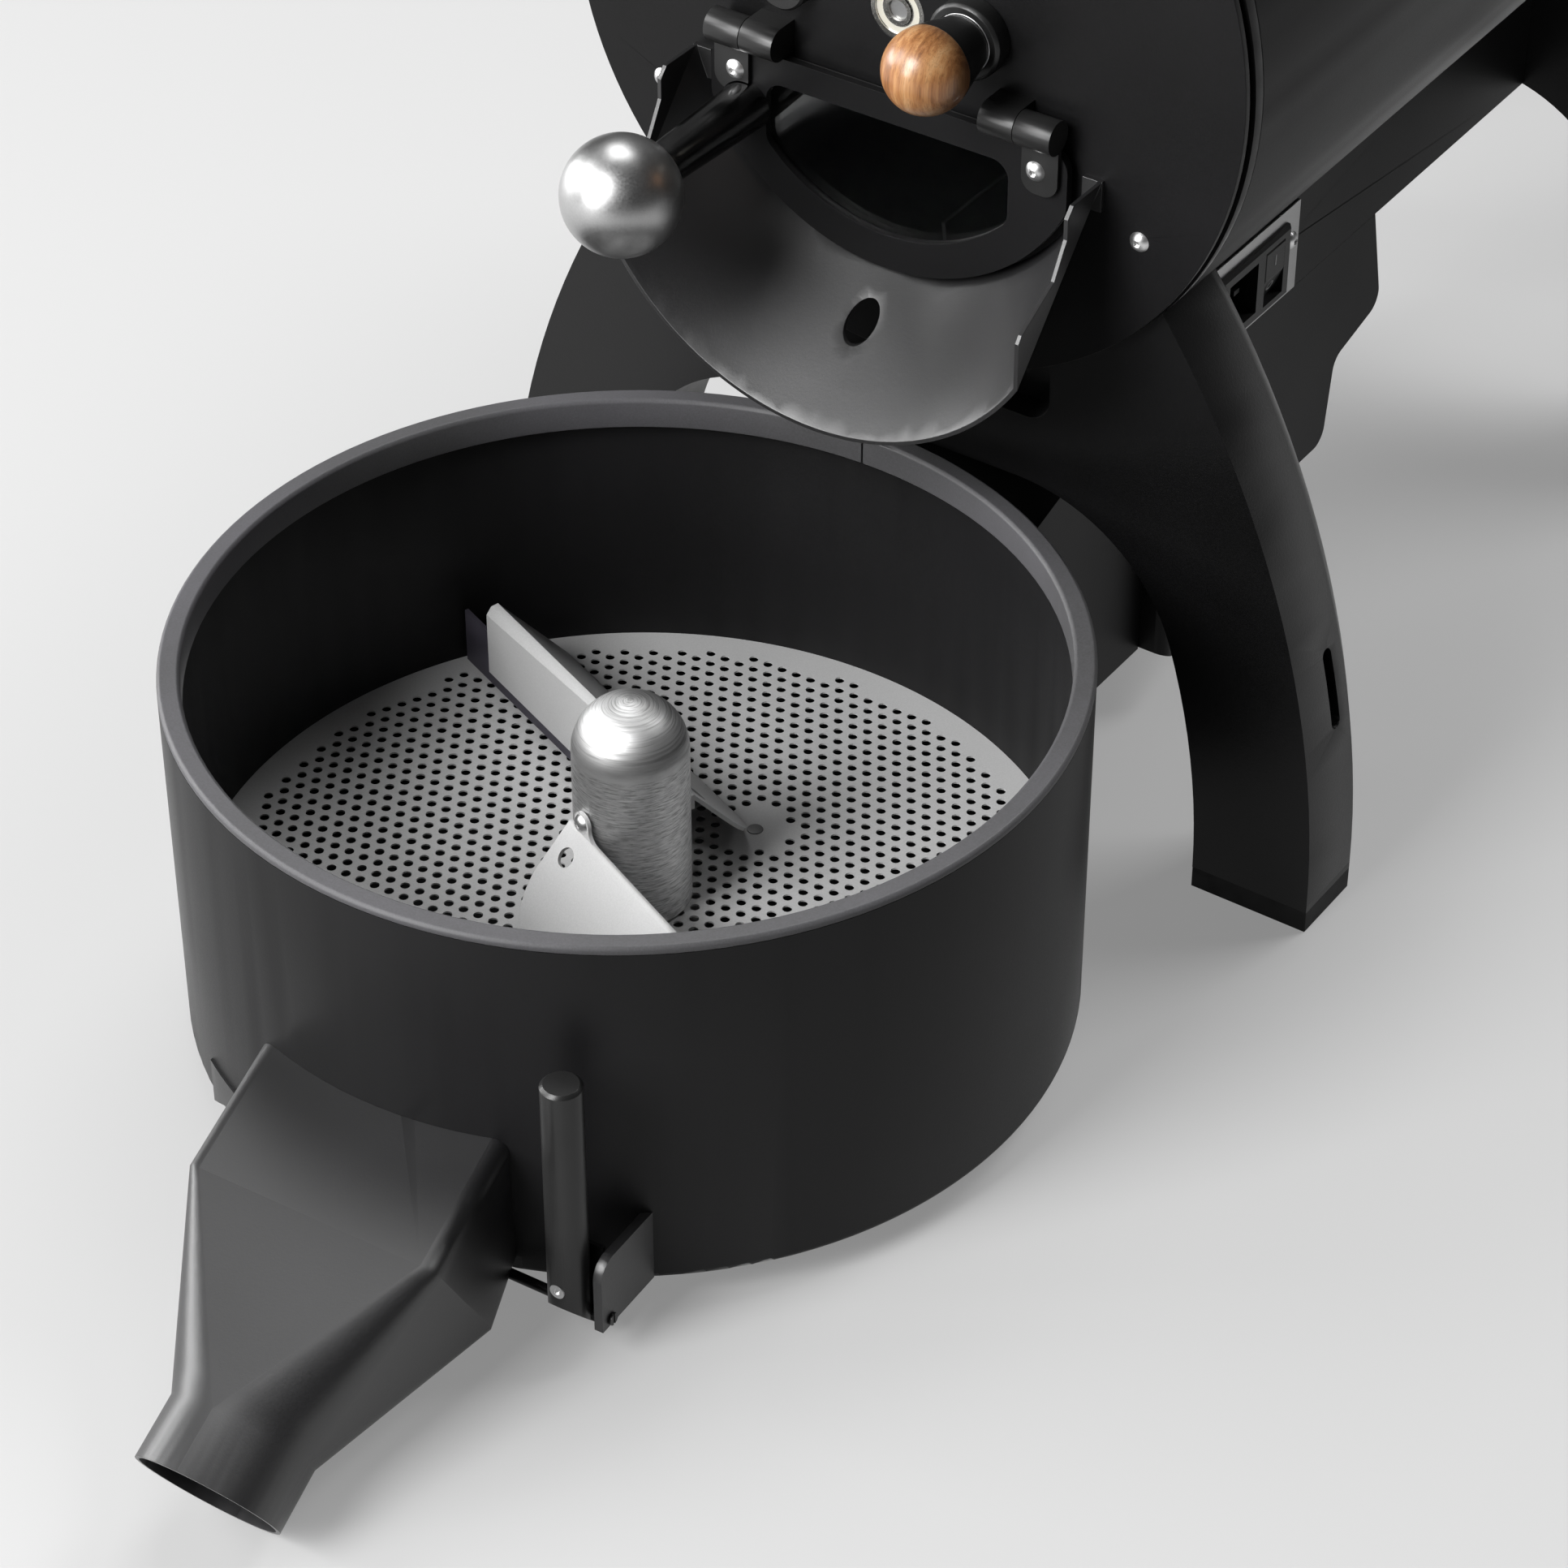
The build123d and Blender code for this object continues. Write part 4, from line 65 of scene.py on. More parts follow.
# ---------------------------------------------------------------- node helpers
class Paint:
    """A node material with one Principled shader, and short ways to add nodes to it."""

    def __init__(self, name, color, roughness, metallic=0.0, **sockets):
        self.material = bpy.data.materials.new(name)
        self.material.use_nodes = True
        self.tree = self.material.node_tree
        self.tree.nodes.clear()
        output = self.tree.nodes.new("ShaderNodeOutputMaterial")
        self.shader = self.tree.nodes.new("ShaderNodeBsdfPrincipled")
        self.tree.links.new(self.shader.outputs[0], output.inputs["Surface"])
        self.shader.inputs["Base Color"].default_value = (*color, 1)
        self.shader.inputs["Roughness"].default_value = roughness
        self.shader.inputs["Metallic"].default_value = metallic
        for key, value in sockets.items():
            self.shader.inputs[key.replace("_", " ")].default_value = value
        self.place = self.tree.nodes.new("ShaderNodeTexCoord").outputs["Object"]

    def node(self, kind, **settings):
        made = self.tree.nodes.new(kind)
        for key, value in settings.items():
            setattr(made, key, value)
        return made

    def link(self, source, target):
        self.tree.links.new(source, target)

    def math(self, operation, a, b=0.0, c=0.0):
        made = self.node("ShaderNodeMath", operation=operation)
        for socket, value in zip(made.inputs, (a, b, c)):
            self.feed(socket, value)
        return made.outputs[0]

    def feed(self, socket, value):
        if isinstance(value, bpy.types.NodeSocket):
            self.link(value, socket)
        else:
            socket.default_value = value

    def scaled(self, scale, origin=(0, 0, 0), turn=(0, 0, 0)):
        """Object coordinates about an origin, turned and stretched."""
        shift = self.node("ShaderNodeVectorMath", operation="SUBTRACT")
        self.link(self.place, shift.inputs[0])
        shift.inputs[1].default_value = origin
        mapping = self.node("ShaderNodeMapping")
        self.link(shift.outputs[0], mapping.inputs["Vector"])
        mapping.inputs["Rotation"].default_value = turn
        mapping.inputs["Scale"].default_value = scale
        return mapping.outputs[0]

    def noise(self, scale, detail=2.0, vector=None, roughness=0.5, distortion=0.0):
        made = self.node("ShaderNodeTexNoise")
        self.link(vector or self.place, made.inputs["Vector"])
        made.inputs["Scale"].default_value = scale
        made.inputs["Detail"].default_value = detail
        made.inputs["Roughness"].default_value = roughness
        made.inputs["Distortion"].default_value = distortion
        return made.outputs["Fac"]

    def spread(self, value, low, high, low_in=0.3, high_in=0.7):
        made = self.node("ShaderNodeMapRange")
        self.feed(made.inputs["Value"], value)
        made.inputs["From Min"].default_value = low_in
        made.inputs["From Max"].default_value = high_in
        made.inputs["To Min"].default_value = low
        made.inputs["To Max"].default_value = high
        return made.outputs[0]

    def ramp(self, value, *stops):
        made = self.node("ShaderNodeValToRGB")
        self.feed(made.inputs[0], value)
        made.color_ramp.elements.remove(made.color_ramp.elements[0])
        for i, (at, color) in enumerate(stops):
            stop = made.color_ramp.elements[0] if i == 0 else made.color_ramp.elements.new(at)
            stop.position = at
            stop.color = (*color, 1)
        return made.outputs[0]

    def color(self, value):
        self.link(value, self.shader.inputs["Base Color"])

    def rough(self, value):
        self.link(value, self.shader.inputs["Roughness"])

    def split(self, vector):
        """The three coordinates of a vector."""
        made = self.node("ShaderNodeSeparateXYZ")
        self.link(vector, made.inputs[0])
        return made.outputs

    def length(self, a, b):
        """Distance from an axis, from the two coordinates across it."""
        square = self.math("ADD", self.math("MULTIPLY", a, a), self.math("MULTIPLY", b, b))
        return self.math("SQRT", square)

    def plane(self, a, b):
        """A flat vector from two coordinates."""
        made = self.node("ShaderNodeCombineXYZ")
        self.link(a, made.inputs[0])
        self.link(b, made.inputs[1])
        return made.outputs[0]

    def bump(self, height, distance, strength=1.0, before=None):
        made = self.node("ShaderNodeBump")
        made.inputs["Strength"].default_value = strength
        made.inputs["Distance"].default_value = distance
        self.link(height, made.inputs["Height"])
        if before is not None:
            self.link(before, made.inputs["Normal"])
        self.link(made.outputs[0], self.shader.inputs["Normal"])
        return made.outputs[0]


# ---------------------------------------------------------------- materials
SHEEN_ROUGHNESS = 0.18
GRAIN_PER_METRE = 1500.0  # of the spun aluminium
BEARING_RADIUS = 11.0 * MM
BEARING_HEIGHT = 332.0 * MM
SHIELD_SPAN = ((0.57, 0.6), (0.8, 0.83))  # its two blurred edges, as shares of the radius


def powder_coat(name, value, roughness, specular, sheen, grain=1.0):
    """Fine-textured matt powder coat: a pebbled skin with small changes of shade and sheen."""
    paint = Paint(
        name,
        (value,) * 3,
        roughness,
        Specular_IOR_Level=specular,
        Sheen_Weight=sheen,
        Sheen_Roughness=SHEEN_ROUGHNESS,
    )
    cloud = paint.noise(9.0, 3.0)
    speck = paint.noise(1500.0, 1.0)
    both = paint.math("MULTIPLY_ADD", speck, 0.35, paint.math("MULTIPLY", cloud, 0.65))
    dark = (value * 0.72,) * 3
    light = (value * 1.25, value * 1.22, value * 1.34)
    paint.color(paint.ramp(both, (0.3, dark), (0.7, light)))
    paint.rough(paint.spread(both, roughness - 0.05, roughness + 0.06))
    fine = paint.bump(paint.noise(2600.0, 2.0), 0.00003, 0.5 * grain)
    paint.bump(paint.noise(900.0, 2.0), 0.00004, 0.45 * grain, before=fine)
    return paint.material


def satin_black(name, value, roughness, metallic):
    """Smooth blackened metal, with a faint drawn grain and soft smudges."""
    paint = Paint(name, (value,) * 3, roughness, metallic)
    smudge = paint.noise(28.0, 4.0)
    paint.rough(paint.spread(smudge, roughness - 0.06, roughness + 0.08))
    paint.color(paint.ramp(smudge, (0.3, (value * 0.8,) * 3), (0.7, (value * 1.2,) * 3)))
    paint.bump(paint.noise(1800.0, 2.0), 0.00001, 0.35)
    return paint.material


def satin_steel(name, value, roughness, scratch=1.0):
    """Fine ground stainless steel."""
    paint = Paint(name, (value, value, value * 0.985), roughness, 1.0)
    smudge = paint.noise(35.0, 4.0)
    grain = paint.noise(1400.0, 3.0)
    both = paint.math("MULTIPLY_ADD", grain, 0.5, paint.math("MULTIPLY", smudge, 0.5))
    paint.rough(paint.spread(both, roughness - 0.05, roughness + 0.09))
    paint.color(paint.ramp(both, (0.3, (value * 0.88,) * 3), (0.7, (value * 1.08,) * 3)))
    paint.bump(grain, 0.000012, 0.5 * scratch)
    return paint.material


def spun_aluminium(name, origin, shoulder):
    """Turned aluminium: rings on the dome, and level brushing with dark streaks on the side."""
    paint = Paint(name, (0.8, 0.8, 0.8), 0.42, 1.0, Anisotropic=0.35)
    x, y, z = paint.split(paint.scaled((1, 1, 1), origin))
    radius = paint.math("MULTIPLY", paint.length(x, y), GRAIN_PER_METRE)
    height = paint.math("MULTIPLY", z, GRAIN_PER_METRE)
    angle = paint.math("ARCTAN2", y, x)
    ring_place = paint.plane(radius, paint.math("MULTIPLY", angle, 0.5))
    side_place = paint.plane(height, paint.math("MULTIPLY", angle, 3.5))
    rings = paint.noise(1.0, 4.0, ring_place, 0.65)
    brushing = paint.noise(1.0, 4.0, side_place, 0.65)
    blend = 0.5 * MM
    on_dome = paint.spread(z, 0.0, 1.0, shoulder - blend, shoulder + blend)
    mix = paint.node("ShaderNodeMix")
    paint.link(on_dome, mix.inputs["Factor"])
    paint.link(brushing, mix.inputs["A"])
    paint.link(rings, mix.inputs["B"])
    streaks = mix.outputs["Result"]
    paint.color(paint.ramp(streaks, (0.36, (0.42,) * 3), (0.5, (0.74,) * 3), (0.64, (0.92,) * 3)))
    paint.rough(paint.spread(streaks, 0.56, 0.42))
    paint.bump(streaks, 0.00003, 0.5)
    return paint.material


def sheet_paint(name, value, roughness):
    """Pale smooth paint on sheet metal, slightly mottled."""
    paint = Paint(name, (value,) * 3, roughness, Specular_IOR_Level=0.4)
    cloud = paint.noise(14.0, 4.0)
    speck = paint.noise(1700.0, 1.0)
    both = paint.math("MULTIPLY_ADD", speck, 0.5, paint.math("MULTIPLY", cloud, 0.5))
    paint.color(paint.ramp(both, (0.3, (value * 0.9,) * 3), (0.7, (value * 1.07,) * 3)))
    paint.rough(paint.spread(both, roughness - 0.05, roughness + 0.07))
    paint.bump(paint.noise(2100.0, 2.0), 0.00002, 0.35)
    return paint.material


def rubber(name, color, roughness):
    """Moulded rubber or silicone."""
    paint = Paint(name, color, roughness, Specular_IOR_Level=0.35)
    cloud = paint.noise(120.0, 3.0)
    paint.rough(paint.spread(cloud, roughness - 0.07, roughness + 0.07))
    dark = tuple(c * 0.8 for c in color)
    light = tuple(c * 1.2 for c in color)
    paint.color(paint.ramp(cloud, (0.3, dark), (0.7, light)))
    paint.bump(paint.noise(1300.0, 2.0), 0.00003, 0.4)
    return paint.material


def moulded_plastic(name, value, roughness):
    """Black thermoplastic with a light spark texture."""
    paint = Paint(name, (value,) * 3, roughness, Specular_IOR_Level=0.5)
    grain = paint.noise(1900.0, 2.0)
    paint.rough(paint.spread(grain, roughness - 0.04, roughness + 0.06))
    paint.color(paint.ramp(grain, (0.3, (value * 0.8,) * 3), (0.7, (value * 1.25,) * 3)))
    paint.bump(grain, 0.00002, 0.4)
    return paint.material


def ball_bearing(name, axis_z):
    """Polished rings about the drum's axis, with a cream shield between them."""
    paint = Paint(name, (0.7,) * 3, 0.2, 1.0)
    across, _, up = paint.split(paint.scaled((1, 1, 1), (0, 0, axis_z)))
    share = paint.math("DIVIDE", paint.length(across, up), BEARING_RADIUS)
    grain = paint.noise(1.0, 3.0, paint.scaled((2500, 200, 2500)))

    def banded(ring, shield):
        (ring_end, shield_start), (shield_end, ring_start) = SHIELD_SPAN
        stops = (ring_end, ring), (shield_start, shield), (shield_end, shield), (ring_start, ring)
        return paint.ramp(share, *stops)

    paint.color(banded((0.62, 0.61, 0.58), (0.55, 0.53, 0.46)))
    paint.link(banded((1, 1, 1), (0, 0, 0)), paint.shader.inputs["Metallic"])
    paint.rough(paint.spread(grain, 0.14, 0.3))
    paint.bump(grain, 0.00001, 0.3)
    return paint.material


def turned_wood(name, origin):
    """Oiled wood: upright bands of warm brown with dark fine pores."""
    paint = Paint(name, (0.4, 0.2, 0.08), 0.36, Coat_Weight=0.35, Coat_Roughness=0.22)
    lean = (0, 0.09, 0)
    wide = paint.noise(1.0, 3.0, paint.scaled((170, 60, 9), origin, lean), 0.5, 0.6)
    fine = paint.noise(1.0, 4.0, paint.scaled((900, 300, 22), origin, lean), 0.6)
    pores = paint.noise(1.0, 2.0, paint.scaled((2600, 1500, 90), origin, lean))
    both = paint.math("MULTIPLY_ADD", fine, 0.4, paint.math("MULTIPLY", wide, 0.6))
    tint = paint.ramp(
        both,
        (0.34, (0.17, 0.066, 0.022)),
        (0.45, (0.33, 0.14, 0.05)),
        (0.55, (0.47, 0.235, 0.095)),
        (0.68, (0.56, 0.33, 0.16)),
    )
    shade = paint.node("ShaderNodeMix", data_type="RGBA", blend_type="MULTIPLY")
    shade.inputs["Factor"].default_value = 0.55
    paint.link(tint, shade.inputs["A"])
    paint.link(paint.ramp(pores, (0.3, (0.45,) * 3), (0.5, (1, 1, 1))), shade.inputs["B"])
    paint.color(shade.outputs["Result"])
    paint.rough(paint.spread(both, 0.42, 0.3))
    paint.bump(pores, 0.00003, 0.3)
    return paint.material


def clear_glass(name):
    """Heat-proof window pane with a trace of haze."""
    paint = Paint(name, (0.92, 0.95, 0.94), 0.03, IOR=1.45, Transmission_Weight=1.0)
    paint.rough(paint.spread(paint.noise(40.0, 3.0), 0.02, 0.06))
    paint.bump(paint.noise(25.0, 2.0), 0.00002, 0.1)
    return paint.material


def belt_rubber(name):
    """Ribbed drive belt."""
    paint = Paint(name, (0.02,) * 3, 0.6)
    ribs = paint.node("ShaderNodeTexWave", bands_direction="Y")
    paint.link(paint.place, ribs.inputs["Vector"])
    ribs.inputs["Scale"].default_value = 300.0
    paint.bump(ribs.outputs["Fac"], 0.0003, 0.6)
    paint.rough(paint.spread(paint.noise(300.0), 0.5, 0.7))
    return paint.material


hub_low, hub_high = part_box("stir_hub")
HUB_RADIUS = (hub_high.x - hub_low.x) / 2
HUB_SHOULDER = hub_high.z - HUB_RADIUS
knob_low, knob_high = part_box("tryer_knob")

materials = {
    "powder": powder_coat("powder_black", 0.006, 0.42, 0.2, 0.5),
    # Lit copy of the black powder coat: a slightly lighter base and much stronger gloss make the
    # chute, spout and gate lugs brighter, as painted highlight for the light they catch.
    "lit_copy_powder": powder_coat("powder_black_lit_copy", 0.008, 0.4, 0.9, 0.1),
    "casting": powder_coat("powder_black_coarse", 0.004, 0.36, 0.35, 0.1, 2.2),
    "rim": powder_coat("powder_grey_rim", 0.07, 0.5, 0.4, 0.2),
    "satin_black": satin_black("satin_black_metal", 0.02, 0.34, 0.3),
    "dark_chrome": satin_black("dark_polished_steel", 0.14, 0.2, 1.0),
    "steel": satin_steel("satin_steel", 0.5, 0.36),
    "bright": satin_steel("bright_steel", 0.78, 0.36),
    "raw": satin_steel("rolled_steel", 0.36, 0.42),
    "aluminium": spun_aluminium("spun_aluminium", (TRAY.x, TRAY.y, 0), HUB_SHOULDER),
    "motor": satin_steel("zinc_plated_steel", 0.42, 0.38),
    "sieve": sheet_paint("sieve_paint", 0.5, 0.42),
    "blade": sheet_paint("blade_paint", 0.5, 0.45),
    "bearing": ball_bearing("bearing_steel", BEARING_HEIGHT),
    "rubber": rubber("black_rubber", (0.02, 0.02, 0.02), 0.7),
    "silicone": rubber("wiper_silicone", (0.05, 0.046, 0.06), 0.5),
    "seal": rubber("door_seal", (0.03, 0.03, 0.03), 0.8),
    "belt": belt_rubber("belt_rubber"),
    "plastic": moulded_plastic("black_plastic", 0.012, 0.4),
    "wood": turned_wood("turned_wood", tuple((knob_low + knob_high) / 2)),
    "glass": clear_glass("window_glass"),
    "mark": sheet_paint("white_mark", 0.8, 0.5),
    "plug": satin_steel("dark_plug", 0.2, 0.4),
}

NODE_FINISH = {
    "powder": "front_plate front_flange housing_shell rear_plate chassis_box lower_housing "
    "tray_dock door_plate hopper hopper_lid tray_bowl gate_flap",
    # These parts take the lit copy of the black powder coat, made brighter as painted highlight for
    # the light they catch.
    "lit_copy_powder": "chute spout gate_lugs",
    "casting": "front_arch rear_arch",
    "rim": "tray_rim",
    "satin_black": "hinge_blocks door_leaves tryer_collar tryer_ferrule lever_rod probe gate_axle",
    "dark_chrome": "ball_stem",
    "steel": "door_ball tryer_bush hopper_gate inlet_backplate",
    "bright": "case_screws door_screws lever_screw stir_screws",
    "bearing": "bearings",
    "raw": "bulkhead drum_shell drum_vanes drum_shaft heating_elements tryer_scoop",
    "aluminium": "stir_hub",
    "motor": "drum_motor fan_motor stir_motor drum_pulley motor_pulley",
    "sieve": "tray_plate",
    "blade": "stir_blades",
    "rubber": "foot_pads tray_feet",
    "silicone": "stir_wipers",
    "seal": "door_gasket",
    "belt": "drive_belt",
    "plastic": "power_inlet rocker exhaust_fan cooling_fan",
    "wood": "tryer_knob",
    "glass": "door_glass",
}
BEVEL = {  # in millimetres
    "front_arch": 5.0,
    "rear_arch": 5.0,
    "tray_rim": 0.5,
    "door_plate": 0.5,
    "hinge_blocks": 0.5,
}
DEFAULT_BEVEL = 0.3
BEVEL_SEGMENTS = 3
BEVEL_ANGLE = 38
SPLIT_ANGLE = 32
WELD_REACH = 1e-6
# Thin, round or tiny nodes, whose sharp edges stay as they are.
NO_BEVEL = set(
    "door_glass drum_vanes door_ball tryer_knob case_screws door_screws stir_screws lever_screw "
    "stir_blades stir_wipers bearings".split()
)


def dress_nodes():
    """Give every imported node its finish, smooth curves and softened edges."""
    for finish, names in NODE_FINISH.items():
        for name in names.split():
            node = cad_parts[name]
            node.data.materials.clear()
            node.data.materials.append(materials[finish])
            for polygon in node.data.polygons:
                polygon.material_index = 0
            weld = node.modifiers.new("join", "WELD")
            weld.merge_threshold = WELD_REACH
            if name in NO_BEVEL:
                split = node.modifiers.new("edges", "EDGE_SPLIT")
                split.split_angle = math.radians(SPLIT_ANGLE)
            else:
                soften(node, BEVEL.get(name, DEFAULT_BEVEL) * MM)


def soften(piece, width):
    """Round the sharp edges a little."""
    bevel = piece.modifiers.new("edges", "BEVEL")
    bevel.width = width
    bevel.segments = BEVEL_SEGMENTS
    bevel.limit_method = "ANGLE"
    bevel.angle_limit = math.radians(BEVEL_ANGLE)
    bevel.harden_normals = True
    bevel.use_clamp_overlap = True


# ---------------------------------------------------------------- mesh helpers
def add_piece(name, vertices, faces, material, body, smooth_angle=35):
    """A mesh piece at the origin, with its vertices in the model's frame."""
    mesh = bpy.data.meshes.new(name)
    mesh.from_pydata([tuple(v) for v in vertices], [], faces)
    mesh.validate()
    work = bmesh.new()
    work.from_mesh(mesh)
    bmesh.ops.recalc_face_normals(work, faces=work.faces)
    work.to_mesh(mesh)
    work.free()
    piece = bpy.data.objects.new(name, mesh)
    bpy.context.scene.collection.objects.link(piece)
    mesh.materials.append(materials[material])
    mesh.shade_smooth()
    mesh.set_sharp_from_angle(angle=math.radians(smooth_angle))
    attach(piece, body)


def arc(centre_r, centre_t, radius, start, end, steps):
    """Profile points (radius, along) on an arc, angles in degrees from the outward direction."""
    points = []
    for i in range(steps + 1):
        angle = math.radians(start + (end - start) * i / steps)
        points.append((centre_r + radius * math.cos(angle), centre_t + radius * math.sin(angle)))
    return points


def lathe(name, profile, origin, axis, material, body, segments):
    """A turned piece: profile points are (radius, distance along the axis)."""
    axis = Vector(axis).normalized()
    side = axis.orthogonal().normalized()
    other = axis.cross(side)
    vertices = []
    faces = []
    rings = []
    for radius, along in profile:
        if radius < 1e-7:
            rings.append([len(vertices)])
            vertices.append(Vector(origin) + axis * along)
            continue
        ring = []
        for i in range(segments):
            angle = 2 * math.pi * i / segments
            out = side * math.cos(angle) + other * math.sin(angle)
            ring.append(len(vertices))
            vertices.append(Vector(origin) + axis * along + out * radius)
        rings.append(ring)
    for low, high in zip(rings, rings[1:]):
        for i in range(segments):
            j = (i + 1) % segments
            if len(low) == 1 and len(high) == 1:
                break
            if len(low) == 1:
                faces.append((low[0], high[j], high[i]))
            elif len(high) == 1:
                faces.append((low[i], low[j], high[0]))
            else:
                faces.append((low[i], low[j], high[j], high[i]))
    add_piece(name, vertices, faces, material, body)


def swept_faces(sections, sides, closed=False):
    """Faces between neighbouring sections of a strip, and over its ends unless it is closed."""
    faces = []
    for i in range(sections if closed else sections - 1):
        a, b = sides * i, sides * ((i + 1) % sections)
        for k in range(sides):
            n = (k + 1) % sides
            faces.append((a + k, a + n, b + n, b + k))
    if not closed:
        last = sides * (sections - 1)
        faces.append(tuple(range(sides)))
        faces.append(tuple(last + k for k in reversed(range(sides))))
    return faces


dress_nodes()


# ---------------------------------------------------------------- sieve plate
HOLE_PITCH = 6.4 * MM
HOLE_RADIUS = 1.85 * MM
HOLE_SIDES = 12
HOLE_BORDER = 10.5 * MM
SIEVE_THICKNESS = 0.7 * MM
SIEVE_GAP = 0.15 * MM
SIEVE_RADIUS = (sieve_high.x - sieve_low.x) / 2 - SIEVE_GAP
FIELD_MARGIN = 1.0 * MM
SHAFT_CLEARANCE = 8.0 * MM
RIM_SIDES = 240
BORE_SIDES = 36
KEYS_PER_METRE = 1e7
RIM_EDGE_SHARE = 0.2
BARE_PATCH = Vector((17.3, 55.0, 0)) * MM
BARE_RADIUS = 13.5 * MM


def rim_edge(edge):
    """Whether an open edge lies on the field's outline and not on a hole."""
    return edge.calc_length() > HOLE_PITCH * RIM_EDGE_SHARE


def sieve_plate():
    """Perforated plate: a field of hexagons, each with its hole, inside a plain border."""
    mesh = bmesh.new()
    corner_reach = HOLE_PITCH / math.sqrt(3)
    row_height = HOLE_PITCH * math.sqrt(3) / 2
    rows = int(SIEVE_RADIUS / row_height) + 1
    known = {}

    def vertex(x, y):
        key = (round(x * KEYS_PER_METRE), round(y * KEYS_PER_METRE))
        if key not in known:
            known[key] = mesh.verts.new((x, y, 0))
        return known[key]

    def rim_points(cx, cy):
        """Corners and edge middles of the hexagon, twelve in all."""
        for k in range(HOLE_SIDES):
            angle = math.radians(30 * k + 30)
            reach = corner_reach if k % 2 == 0 else HOLE_PITCH / 2
            yield cx + reach * math.cos(angle), cy + reach * math.sin(angle)

    for row in range(-rows, rows + 1):
        for column in range(-rows - 2, rows + 3):
            cx = (column + (row % 2) / 2) * HOLE_PITCH
            cy = row * row_height
            distance = math.hypot(cx, cy)
            if distance + corner_reach > SIEVE_RADIUS - FIELD_MARGIN:
                continue
            if distance < SHAFT_CLEARANCE + corner_reach:
                continue
            outer = [vertex(x, y) for x, y in rim_points(cx, cy)]
            off_patch = math.hypot(cx - BARE_PATCH.x, cy - BARE_PATCH.y) > BARE_RADIUS
            if distance < SIEVE_RADIUS - HOLE_BORDER and off_patch:
                inner = []
                for k in range(HOLE_SIDES):
                    angle = math.radians(30 * k + 30)
                    x = cx + HOLE_RADIUS * math.cos(angle)
                    y = cy + HOLE_RADIUS * math.sin(angle)
                    inner.append(mesh.verts.new((x, y, 0)))
                for k in range(HOLE_SIDES):
                    n = (k + 1) % HOLE_SIDES
                    mesh.faces.new((outer[k], outer[n], inner[n], inner[k]))
            else:
                mesh.faces.new(outer)
    field_edges = [e for e in mesh.edges if len(e.link_faces) == 1 and rim_edge(e)]
    circle_edges = []
    for radius, count in ((SIEVE_RADIUS, RIM_SIDES), (SHAFT_CLEARANCE, BORE_SIDES)):
        ring = []
        for i in range(count):
            angle = 2 * math.pi * i / count
            ring.append(mesh.verts.new((radius * math.cos(angle), radius * math.sin(angle), 0)))
        for i in range(count):
            circle_edges.append(mesh.edges.new((ring[i], ring[(i + 1) % count])))
    bmesh.ops.triangle_fill(mesh, edges=field_edges + circle_edges, use_beauty=True)
    bmesh.ops.recalc_face_normals(mesh, faces=mesh.faces)
    data = bpy.data.meshes.new("sieve_plate")
    turn = Matrix.Rotation(TRAY_TURN, 4, "Z")
    mesh.transform(Matrix.Translation((TRAY.x, TRAY.y, sieve_high.z)) @ turn)
    if sum(face.normal.z for face in mesh.faces) < 0:
        bmesh.ops.reverse_faces(mesh, faces=mesh.faces)
    mesh.to_mesh(data)
    mesh.free()
    piece = bpy.data.objects.new("sieve_plate", data)
    bpy.context.scene.collection.objects.link(piece)
    data.materials.append(materials["sieve"])
    thick = piece.modifiers.new("thickness", "SOLIDIFY")
    thick.thickness = SIEVE_THICKNESS
    thick.offset = -1
    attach(piece, "tray")
    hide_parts("tray_plate")


# ---------------------------------------------------------------- small turned and printed pieces
PLUG_RADIUS = 3.0 * MM
PLUG_PROUD = 0.35 * MM
MARK_RISE = 6.0 * MM  # from the middle of the rocker
MARK_PROUD = 0.12 * MM
BAR_HALF = (0.38 * MM, 2.2 * MM)
BAR_STEPS = 6
RING_RADII = (1.55 * MM, 2.25 * MM)
RING_STEPS = 40


def sieve_plug():
    """Flush dark plug in the sieve plate's bare patch."""
    place = TRAY + Matrix.Rotation(TRAY_TURN, 3, "Z") @ BARE_PATCH
    place.z = sieve_high.z
    edge = PLUG_RADIUS - PLUG_PROUD
    profile = [(PLUG_RADIUS, -SIEVE_THICKNESS), (PLUG_RADIUS, 0.0)]
    profile += arc(edge, 0.0, PLUG_PROUD, 30, 90, 4)
    profile += [(0.0, PLUG_PROUD)]
    lathe("sieve_plug", profile, place, (0, 0, 1), "plug", "tray", 48)


def switch_marks():
    """The I and O of the switch, printed on its rocker."""
    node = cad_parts["rocker"]
    low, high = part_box("rocker")
    tree = BVHTree.FromPolygons(
        [v.co for v in node.data.vertices],
        [tuple(p.vertices) for p in node.data.polygons],
    )
    centre = (low + high) / 2

    def on_face(across, up):
        start = Vector((high.x + 0.01, centre.y + across, centre.z + up))
        return tree.ray_cast(start, Vector((-1, 0, 0)))[0]

    half_wide, half_tall = BAR_HALF
    strip = []
    for i in range(BAR_STEPS + 1):
        up = MARK_RISE - half_tall + 2 * half_tall * i / BAR_STEPS
        strip.append([on_face(across, up) for across in (-half_wide, half_wide)])
    printed("switch_bar", strip, False)
    strip = []
    for i in range(RING_STEPS):
        angle = 2 * math.pi * i / RING_STEPS
        across, up = math.cos(angle), math.sin(angle)
        strip.append([on_face(r * across, r * up - MARK_RISE) for r in RING_RADII])
    printed("switch_ring", strip, True)


def printed(name, strip, closed):
    """A thin raised strip of paint over pairs of points on a face that looks along +X."""
    proud = Vector((MARK_PROUD, 0, 0))
    sunk = Vector((-MARK_PROUD / 2, 0, 0))
    vertices = []
    for left, right in strip:
        vertices += [left + sunk, left + proud, right + proud, right + sunk]
    faces = swept_faces(len(strip), 4, closed)
    add_piece(name, vertices, faces, "mark", "power_switch")


